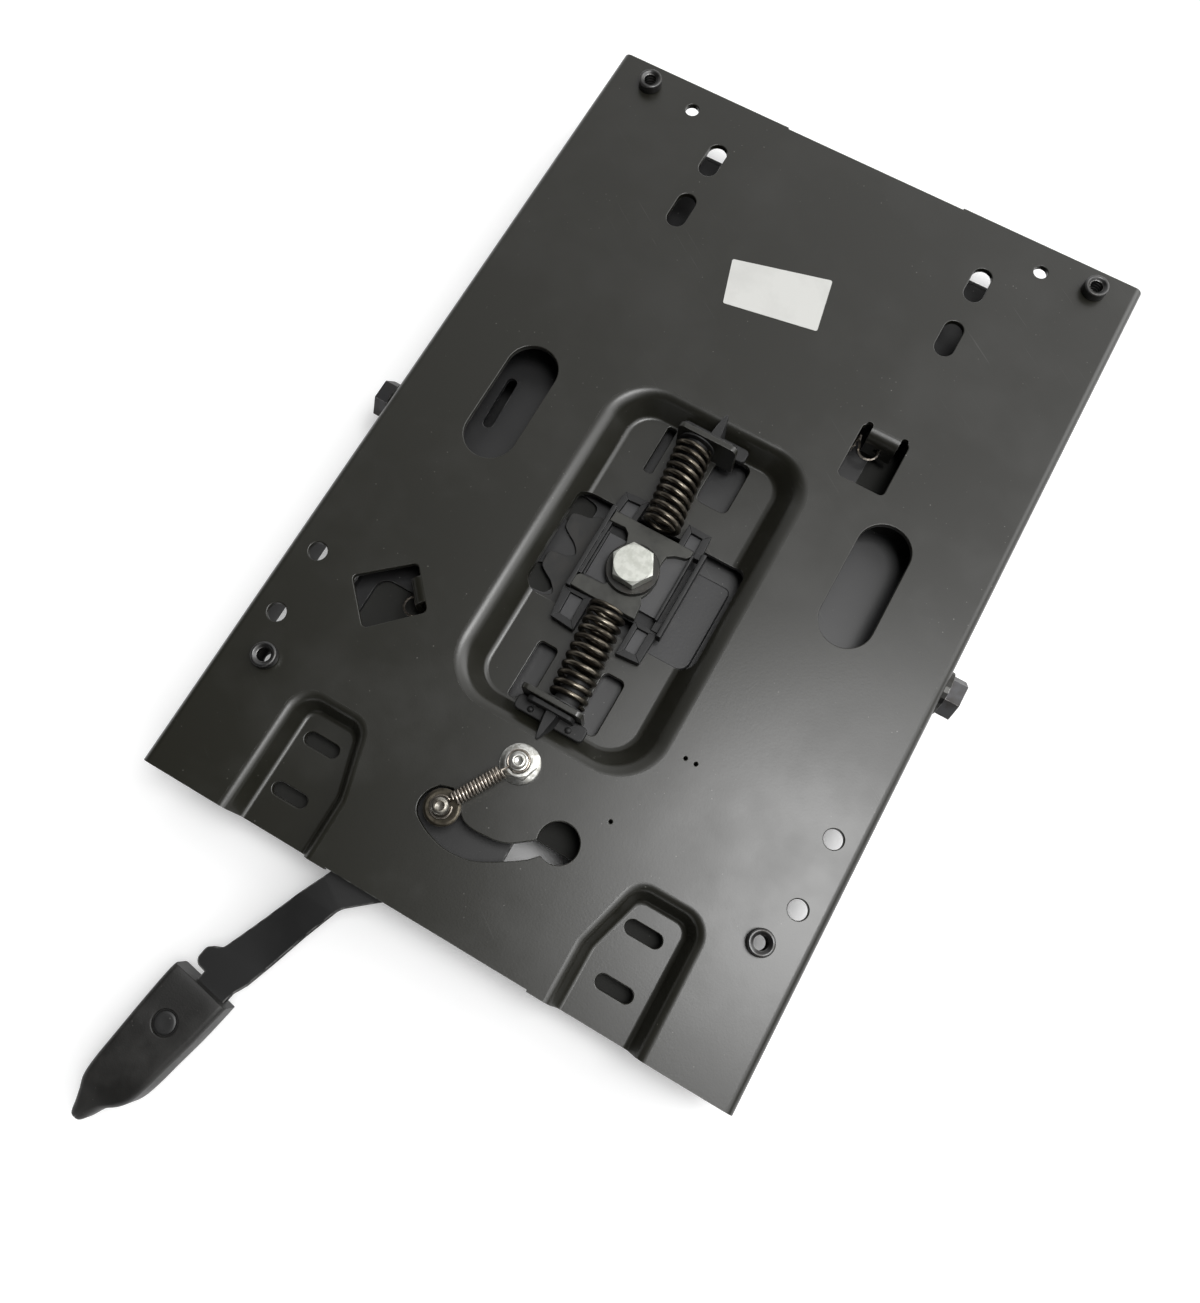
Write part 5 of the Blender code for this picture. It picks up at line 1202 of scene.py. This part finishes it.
def build_guide(end, away, spring):
    """A moulded spring guide: spigot and flange inside its lug, plate, base, snap dots and tongue outside."""
    spigot_x = spring[1][0]
    face = ISOLATOR_Y + away * TAB_FACE
    out = face + away * (SHEET + GUIDE_GAP)
    bm = bmesh.new()
    spigot = [(face - away * reach, radius) for reach, radius in SPIGOT]
    turned(bm, spigot, (spigot_x, 0.0, SPRING_AXIS), "y", 40)
    neck = [(face - away * 1.0, 3.6), (out + away * 1.2, 3.6)]
    turned(bm, neck, (GUIDE_NECKS[end], 0.0, SPRING_AXIS), "y", 24)
    y0, y1 = sorted((out, out + away * 2.2))
    upright_plate(bm, round_corners(GUIDE_PLATE, [1.0, 1.0, 3.0, 3.0], 5), y0, y1, 0.5)
    near, far = sorted((out, out + away * 7.0))
    base = round_corners([(-16.8, near), (16.4, near), (16.4, far), (-16.8, far)], 2.2, 5)
    soft_prism(bm, base, 35.2, 38.0, 0.7, 3)
    for x in (-9.2, 9.0):
        dot = Matrix.Translation((x, out + away * 4.6, 38.2))
        bmesh.ops.create_uvsphere(bm, u_segments=20, v_segments=12, radius=1.5, matrix=dot)
    guide_tongue(bm, out + away * 1.2, ISOLATOR_Y + away * GUIDE_REACH)
    finished("spring_guide_%s_moulded" % end, bm, 35.0, BLOCK_PLASTIC, "top_tray",
             ("spring_guide_" + end,))


# The lever and its pivot

ARM_OUTLINE = [(-9.5, -119.5), (8.5, -119.5), (12.0, -128.0), (11.3, -140.0), (11.3, -171.0),
               (-6.0, -190.0), (-26.0, -205.5), (-37.0, -214.5), (-44.0, -231.5), (-50.5, -249.5),
               (-54.0, -259.0), (-57.2, -264.3), (-60.7, -281.0), (-73.9, -277.5), (-70.6, -262.2),
               (-76.6, -260.8), (-75.6, -254.0), (-69.6, -251.6), (-61.5, -234.0), (-53.8, -217.0),
               (-48.0, -205.5), (-33.6, -171.0), (-31.2, -150.0), (-13.5, -126.0)]
ARM_RADII = [6, 6, 6, 10, 8, 10, 12, 10, 30, 30, 0, 0, 3, 3, 0, 3, 3, 4, 30, 30, 40, 12, 14, 8]
ARM_BOTTOM = 24.8
ARM_TOP = 28.6
# The arm sinks by ARM_DROP between these distances from the pivot
ARM_DROP = 3.5
ARM_BEND = (92.0, 132.0)
ARM_HEADING = (-0.46, -0.888, 0.0)
# Stations of the grip from the arm to the tip: left edge, right edge, underside and top
GRIP_STATIONS = [((-82.2, -264.4), (-54.4, -269.4), 17.4, 29.4),
                 ((-82.5, -265.0), (-54.7, -270.2), 17.0, 30.1),
                 ((-83.4, -269.6), (-55.7, -275.0), 16.8, 30.7),
                 ((-85.2, -281.5), (-58.3, -286.5), 16.5, 31.0),
                 ((-87.3, -297.0), (-61.9, -299.6), 16.0, 31.0),
                 ((-88.9, -307.5), (-64.6, -309.5), 15.4, 30.4),
                 ((-89.8, -314.5), (-67.4, -316.6), 14.8, 29.2),
                 ((-89.9, -319.0), (-71.2, -321.2), 14.2, 27.8),
                 ((-89.1, -323.4), (-76.4, -325.2), 13.4, 26.0),
                 ((-88.5, -328.0), (-79.6, -329.6), 12.8, 24.2),
                 ((-88.2, -331.6), (-81.6, -332.8), 12.4, 22.6),
                 ((-87.7, -333.6), (-83.2, -334.4), 12.4, 21.4),
                 ((-86.8, -334.6), (-84.6, -334.9), 13.6, 20.2)]
BUTTON = (-72.0, -285.2)


def arm_drop(x, y):
    """How far the arm lies below its start, at a point of its outline."""
    near, far = ARM_BEND
    share = max(0.0, min(1.0, (math.hypot(x - PIVOT[0], y - PIVOT[1]) - near) / (far - near)))
    return share * share * (3.0 - 2.0 * share) * ARM_DROP


def build_arm():
    """The flat steel arm, bored for pivot and pin, then cut into bands so that it can bend down."""
    bm = bmesh.new()
    soft_prism(bm, round_corners(ARM_OUTLINE, ARM_RADII, 8), ARM_BOTTOM, ARM_TOP, 0.5, 3)
    arm = raw_piece("lever_arm_bent", bm)
    bm = bmesh.new()
    prism(bm, circle(*PIVOT, PIVOT_BORE, 32), 15, 35)
    prism(bm, circle(*PIN, 3.1, 24), 15, 35)
    combine(arm, raw_piece("bores", bm), "DIFFERENCE")
    bm = bmesh.new()
    bm.from_mesh(arm.data)
    bmesh.ops.triangulate(bm, faces=bm.faces)
    heading = Vector(ARM_HEADING).normalized()
    for step in range(9):
        place = Vector((*PIVOT, 0.0)) + heading * (ARM_BEND[0] + 5.0 * step)
        bmesh.ops.bisect_plane(bm, geom=bm.verts[:] + bm.edges[:] + bm.faces[:], dist=0.001,
                               plane_co=place, plane_no=heading)
    for vert in bm.verts:
        vert.co.z -= arm_drop(vert.co.x, vert.co.y)
    bm.to_mesh(arm.data)
    bm.free()
    settle(arm, 40.0)
    dress(arm, LEVER_PAINT, "lever", ("lever_arm",))


def grip_section(left, right, bottom, top):
    """One cross-section of the grip: flat sides, soft upper edges and a slightly dished top."""
    width = math.dist(left, right)
    soft = min(2.6, width * 0.32)
    outline = [(0.7, bottom), (0.0, bottom + 0.8), (0.0, top - soft)]
    for i in range(1, 5):
        angle = math.pi / 2 * i / 4
        outline.append((soft - soft * math.cos(angle), top - soft + soft * math.sin(angle)))
    edge = soft + width * 0.1
    outline += [(edge, top - 0.18), (width / 2, top - 0.4), (width - edge, top - 0.18)]
    for i in range(4, 0, -1):
        angle = math.pi / 2 * i / 4
        outline.append((width - soft + soft * math.cos(angle), top - soft + soft * math.sin(angle)))
    outline += [(width, top - soft), (width, bottom + 0.8), (width - 0.7, bottom)]
    across = (Vector(right) - Vector(left)) / width
    return [(left[0] + across.x * a, left[1] + across.y * a, z) for a, z in outline]


def build_grip():
    """The moulded handle, drawn section by section to its low tip, with the seat of its button."""
    lefts = curved([station[0] for station in GRIP_STATIONS], 3)
    rights = curved([station[1] for station in GRIP_STATIONS], 3)
    heights = curved([station[2:] for station in GRIP_STATIONS], 3)
    bm = bmesh.new()
    loft(bm, [grip_section(left, right, *height) for left, right, height in zip(lefts, rights, heights)])
    grip = raw_piece("handle_grip_moulded", bm)
    bm = bmesh.new()
    turned(bm, [(29.4, 5.2), (30.2, 5.3), (31.0, 6.1), (33.0, 7.5)], (*BUTTON, 0.0), "z", 36)
    combine(grip, raw_piece("seat", bm), "DIFFERENCE")
    settle(grip, 45.0)
    dress(grip, GRIP_PLASTIC, "lever", ("handle_grip",))


def build_button():
    """The round button, nearly flush with the grip."""
    bm = bmesh.new()
    turned(bm, [(27.9, 4.7), (30.2, 4.7), (30.6, 4.4), (30.75, 3.6), (30.7, 2.0), (30.65, 0.4)],
           (*BUTTON, 0.0), "z", 40)
    finished("handle_button_turned", bm, 50.0, BUTTON_DARK, "lever", ("handle_button",))


NUT_FLATS = 12.6
NUT_SEAT = TRAY_TOP + 0.3


def build_pivot_stud():
    """The pivot bolt: its head under the tray and its stud with a hollow end."""
    bm = bmesh.new()
    turned(bm, [(18.6, 7.4), (19.6, 8.4), (24.5, 8.4), (24.5, 4.9), (44.0, 4.9), (44.0, 3.5), (50.0, 3.5),
                (50.1, 3.9), (51.4, 3.9), (51.5, 3.4), (52.4, 3.3), (53.0, 3.0), (53.3, 2.4), (53.2, 1.9),
                (51.9, 1.5), (51.6, 0.2)], (*PIVOT, 0.0))
    finished("pivot_stud", bm, 40.0, NUT_ZINC, "top_tray", ("pivot_bolt",))


def build_pivot_nut():
    """The flange nut round the pivot stud."""
    centre = (*PIVOT, 0.0)
    z0 = NUT_SEAT
    bm = bmesh.new()
    turned(bm, [(z0, 7.6), (z0 + 0.1, 8.4), (z0 + 0.5, 8.6), (z0 + 1.3, 8.55), (z0 + 1.7, 8.1),
                (z0 + 2.6, 6.2), (z0 + 3.2, 5.6)], centre, "z", 64)
    nut = raw_piece("pivot_flange_nut", bm)
    flat = NUT_FLATS / 2
    corner = NUT_FLATS / math.sqrt(3.0)
    chamfer = [(z0, corner + 1.0), (z0 + 5.4, corner + 0.05), (z0 + 6.0, flat * 0.99), (z0 + 6.3, flat * 0.9),
               (z0 + 6.31, flat * 0.5)]
    combine(nut, hexagon_head("hexagon", PIVOT, NUT_FLATS, 0.2, z0 + 0.6, z0 + 6.3, chamfer, 48), "UNION")
    bm = bmesh.new()
    turned(bm, [(z0 - 2.0, 4.0), (z0 + 5.4, 4.0), (z0 + 6.4, 5.0), (z0 + 9.0, 5.0)], centre, "z", 40)
    combine(nut, raw_piece("bore", bm), "DIFFERENCE")
    settle(nut, 30.0)
    dress(nut, NUT_ZINC, "top_tray", ("pivot_nut", "pivot_washer"))


def build_pin_stud():
    """The lock pin's stud, with its foot under the arm and its retaining clip."""
    bm = bmesh.new()
    turned(bm, [(23.6, 4.6), (24.4, 5.0), (24.5, 2.8), (45.0, 2.8), (45.0, 3.3), (47.2, 3.3), (47.3, 3.9),
                (49.6, 3.9), (50.6, 3.5), (51.0, 2.9), (51.1, 2.2), (50.5, 1.7), (50.3, 0.3)],
           (*PIN, 0.0), "z", 40)
    finished("lever_pin_stud", bm, 40.0, PIN_STEEL, "lever", ("lever_pin",))


def build_pin_disc():
    """The oily disc of the lock pin, which rides over the slot."""
    bm = bmesh.new()
    turned(bm, [(42.4, 7.4), (42.6, 7.8), (44.0, 7.8), (44.5, 7.3), (44.65, 6.4), (44.4, 5.6), (44.35, 2.0)],
           (*PIN, 0.0), "z", 64)
    finished("lever_pin_disc", bm, 40.0, DISC_STEEL, "lever", ())


# The lever's fine spring: its coils, their mean radius and wire radius, and its eyes round the studs
FINE_COILS = 15
FINE_RADIUS = 2.75
FINE_WIRE = 0.5
EYE_RADIUS = 4.5
EYE_SWEEP = 330.0
EYE_STEPS = 32
EYE_RISE = 0.5
FINE_START = (*PIVOT, 50.8)
FINE_END = (*PIN, 46.3)
# From each stud to the first coil
FINE_REACH = (8.0, 6.0)


def eyed_coil(per_turn=20):
    """The wire of an extension spring between two studs, with an eye round each of them."""
    a, b = Vector(FINE_START), Vector(FINE_END)
    along = (b - a).normalized()
    side = Vector((-along.y, along.x, 0.0)).normalized()
    up = Vector((0.0, 0.0, 1.0))
    path = []
    for i in range(EYE_STEPS + 1):
        share = i / EYE_STEPS
        angle = math.radians(EYE_SWEEP * (share - 1.0))
        path.append(a + along * (EYE_RADIUS * math.cos(angle)) + side * (EYE_RADIUS * math.sin(angle))
                    + up * (EYE_RISE * (1.0 - share)))
    first, last = a + along * FINE_REACH[0], b - along * FINE_REACH[1]
    total = FINE_COILS * per_turn
    for i in range(total + 1):
        angle = 2 * math.pi * i / per_turn
        centre = first.lerp(last, i / total)
        path.append(centre + side * (FINE_RADIUS * math.sin(angle)) + up * (FINE_RADIUS * math.cos(angle)))
    for i in range(EYE_STEPS + 1):
        share = i / EYE_STEPS
        angle = math.radians(180.0 - EYE_SWEEP * share)
        path.append(b + along * (EYE_RADIUS * math.cos(angle)) - side * (EYE_RADIUS * math.sin(angle))
                    + up * (EYE_RISE * share))
    return path


def build_lever_spring():
    """The fine extension spring between the pivot and the pin."""
    bm = bmesh.new()
    swept(bm, eyed_coil(), FINE_WIRE, 8)
    finished("lever_return_coil", bm, 60.0, WIRE_STEEL, "lever",
             ("lever_spring",), weighted=False)


# Collars and label

# A collar as height and radius: outside from the foot, over the rim, then down the thread
COLLAR_PROFILE = [(34.0, 4.4), (42.3, 4.4), (42.3, 5.2), (42.5, 5.5), (42.9, 5.65), (45.6, 5.65), (46.1, 5.5),
                  (46.4, 5.1), (46.45, 4.6), (46.3, 4.1), (45.7, 3.6)]
THREAD_TOP = 45.4
THREAD_STEP = 0.8
THREAD_ROWS = 14
THREAD_RADII = (3.05, 3.35)


def build_collars():
    """The four threaded collars in the corners of the tray."""
    thread = [(THREAD_TOP - THREAD_STEP * i, THREAD_RADII[i % 2]) for i in range(THREAD_ROWS)]
    profile = COLLAR_PROFILE + thread + [(34.0, 3.3)]
    for side, side_word in ((1, "right"), (-1, "left")):
        for end_word, y in COLLAR_ROWS.items():
            bm = bmesh.new()
            turned_ring(bm, profile, (side * COLLAR_X, y))
            name = "collar_%s_%s" % (side_word, end_word)
            finished(name + "_threaded", bm, 40.0, COLLAR_STEEL, "top_tray", (name,))


LABEL_CORNERS = [(-28.9, 102.0), (15.5, 110.1), (10.0, 137.3), (-35.9, 124.8)]


def build_label():
    """A blank paper label on the tray."""
    bm = bmesh.new()
    outline = round_corners(LABEL_CORNERS, 1.0, 4)
    prism(bm, outline, TRAY_TOP - 0.02, TRAY_TOP + 0.13)
    finished("blank_label", bm, 30.0, LABEL_PAPER, "top_tray")


build_tray()
build_block()
build_pocket_floors()
build_cross_bar()
build_centre_washer()
build_centre_bolt()
build_comb()
build_shoe()
build_painted_shade_sheets()
build_rear_lip()
build_spring("spring_rear", *REAR_SPRING)
build_spring("spring_front", *FRONT_SPRING)
build_guide("rear", 1, REAR_SPRING)
build_guide("front", -1, FRONT_SPRING)
build_arm()
build_grip()
build_button()
build_pivot_stud()
build_pivot_nut()
build_pin_stud()
build_pin_disc()
build_lever_spring()
build_collars()
build_label()


# Finishes of the pieces that stay as the frame gives them

def finish_nodes():
    """Give each CAD node that stays its own material in every slot."""
    finishes = {"lower_frame": FRAME_PAINT, "centre_nut": NUT_ZINC, "pivot_spacer": WASHER_STEEL,
                "return_spring_right": WIRE_STEEL, "return_spring_left": WIRE_STEEL}
    for side in ("left", "right"):
        finishes["guide_rail_" + side] = RAIL_COAT
        finishes["side_bolt_" + side] = BOLT_BLACK
        finishes["side_washer_" + side] = WASHER_STEEL
        finishes["side_nut_" + side] = NUT_ZINC
        for end in ("rear", "front"):
            finishes["roller_%s_%s" % (side, end)] = ROLLER_PLASTIC
            finishes["axle_%s_%s" % (side, end)] = BOLT_BLACK
    for name, material in finishes.items():
        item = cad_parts[name]
        for slot in item.material_slots:
            slot.material = material


finish_nodes()


# Camera, light and floor

# The photograph's size and focal length in pixels, and where its camera stood
IMAGE = (1200, 1303)
FOCAL_PIXELS = 1024.62
SENSOR = 36.0
CAMERA_SPOT = (0.0602, -0.0978, 0.4593)
CAMERA_RIGHT = (0.8686, 0.4954, -0.0058)
CAMERA_UP = (-0.4781, 0.8412, 0.2524)
CAMERA_BACK = (0.1299, -0.2165, 0.9676)


def build_camera():
    """The camera at the photograph's place and angle."""
    data = bpy.data.cameras.new("camera")
    data.sensor_width = SENSOR
    data.lens = FOCAL_PIXELS * SENSOR / max(IMAGE)
    data.clip_start = 0.01
    item = bpy.data.objects.new("camera", data)
    columns = Matrix((CAMERA_RIGHT, CAMERA_UP, CAMERA_BACK)).transposed()
    item.matrix_world = Matrix.Translation(CAMERA_SPOT) @ columns.to_4x4()
    bpy.context.scene.collection.objects.link(item)
    bpy.context.scene.camera = item


KEY_SPOT = (0.336, 0.095, 1.32)
KEY_AIM = (0.128, -0.049, 0.042)
KEY_SIDE = 0.46
KEY_RADIANCE = 14.5


def build_key_light():
    """One square soft light, high above the right side."""
    data = bpy.data.lights.new("key", "AREA")
    data.shape = "RECTANGLE"
    data.size, data.size_y = KEY_SIDE, KEY_SIDE
    data.energy = KEY_RADIANCE * math.pi * KEY_SIDE * KEY_SIDE
    item = bpy.data.objects.new("key", data)
    item.location = KEY_SPOT
    item.rotation_euler = (Vector(KEY_SPOT) - Vector(KEY_AIM)).to_track_quat("Z", "Y").to_euler()
    bpy.context.scene.collection.objects.link(item)


def seen_directly(tree):
    """1 for the rays that show a background: to the camera, in a reflection and through glass."""
    paths = node(tree, "ShaderNodeLightPath")
    seen = calc(tree, "MAXIMUM", paths.outputs["Is Camera Ray"], paths.outputs["Is Glossy Ray"])
    return calc(tree, "MAXIMUM", seen, paths.outputs["Is Transmission Ray"])


FLOOR_HALF = 3.0
FLOOR_GAP = 0.0002
FLOOR_WHITE = (0.86, 0.86, 0.86)
FLOOR_GLOW = (0.28, 0.28, 0.28)
# The glow sets in between these distances from the tray's middle; inside them the floor has no glow, a
# painted shadow under the tray, so the tray's openings show little of it
PAINTED_SHADOW_EDGE_X = (0.102, 0.130)
PAINTED_SHADOW_EDGE_Y = (0.186, 0.212)


def build_floor():
    """A pale floor just under the feet, whose glow only a camera, a reflection or glass sees; under the tray
    the glow is left out, a painted shadow.
    """
    mesh = bpy.data.meshes.new("floor")
    half = FLOOR_HALF
    corners = [(-half, -half, 0), (half, -half, 0), (half, half, 0), (-half, half, 0)]
    mesh.from_pydata(corners, [], [(0, 1, 2, 3)])
    floor = bpy.data.objects.new("floor", mesh)
    floor.location.z = CAD_BOX[0][2] - FLOOR_GAP
    bpy.context.scene.collection.objects.link(floor)
    material = bpy.data.materials.new("pale floor")
    material.use_nodes = True
    tree = material.node_tree
    shader = tree.nodes["Principled BSDF"]
    shader.inputs["Base Color"].default_value = (*FLOOR_WHITE, 1.0)
    shader.inputs["Roughness"].default_value = 0.9
    shader.inputs["Specular IOR Level"].default_value = 0.1
    shader.inputs["Emission Strength"].default_value = 1.0
    spot = node(tree, "ShaderNodeSeparateXYZ")
    link(tree, node(tree, "ShaderNodeNewGeometry").outputs["Position"], spot.inputs[0])
    beside = span(tree, calc(tree, "ABSOLUTE", spot.outputs["X"]), *PAINTED_SHADOW_EDGE_X)
    from_middle = calc(tree, "SUBTRACT", spot.outputs["Y"], SHIFT_Y / 1000.0)
    beyond = span(tree, calc(tree, "ABSOLUTE", from_middle), *PAINTED_SHADOW_EDGE_Y)
    # no glow inside the tray's outline: a painted shadow under the tray
    clear = calc(tree, "MULTIPLY", calc(tree, "MAXIMUM", beside, beyond), seen_directly(tree))
    link(tree, blend_colors(tree, clear, (0.0, 0.0, 0.0), FLOOR_GLOW), shader.inputs["Emission Color"])
    mesh.materials.append(material)


def build_world():
    """A ceiling that brightens to the rear and the right, a soft panel, and white near the horizon."""
    world = bpy.data.worlds.new("studio")
    bpy.context.scene.world = world
    world.use_nodes = True
    tree = world.node_tree
    background = tree.nodes["Background"]
    heading = node(tree, "ShaderNodeTexCoord").outputs["Generated"]
    split = node(tree, "ShaderNodeSeparateXYZ")
    link(tree, heading, split.inputs[0])
    x, y, z = split.outputs["X"], split.outputs["Y"], split.outputs["Z"]
    to_rear = span(tree, y, -0.06, 0.80, 0.02, 1.01)
    to_right = span(tree, x, -0.45, 0.25, 0.76, 1.28)
    ceiling = calc(tree, "MULTIPLY", to_rear, to_right)
    # the panel stands at the right, where the rolled rims that face it pick it up
    across = calc(tree, "MULTIPLY", span(tree, x, 0.26, 0.42), span(tree, x, 0.86, 0.72))
    panel = calc(tree, "MULTIPLY", across, span(tree, y, -0.50, -0.30))
    ceiling = calc(tree, "ADD", ceiling, calc(tree, "MULTIPLY", panel, 2.1))
    pale = calc(tree, "MULTIPLY", seen_directly(tree), span(tree, z, 0.06, 0.20, 1.0, 0.0))
    link(tree, blend_colors(tree, pale, ceiling, (1.0, 1.0, 1.0)), background.inputs["Color"])
    background.inputs["Strength"].default_value = 1.0


build_camera()
build_floor()
build_world()
build_key_light()
bpy.context.scene.view_settings.view_transform = "Standard"
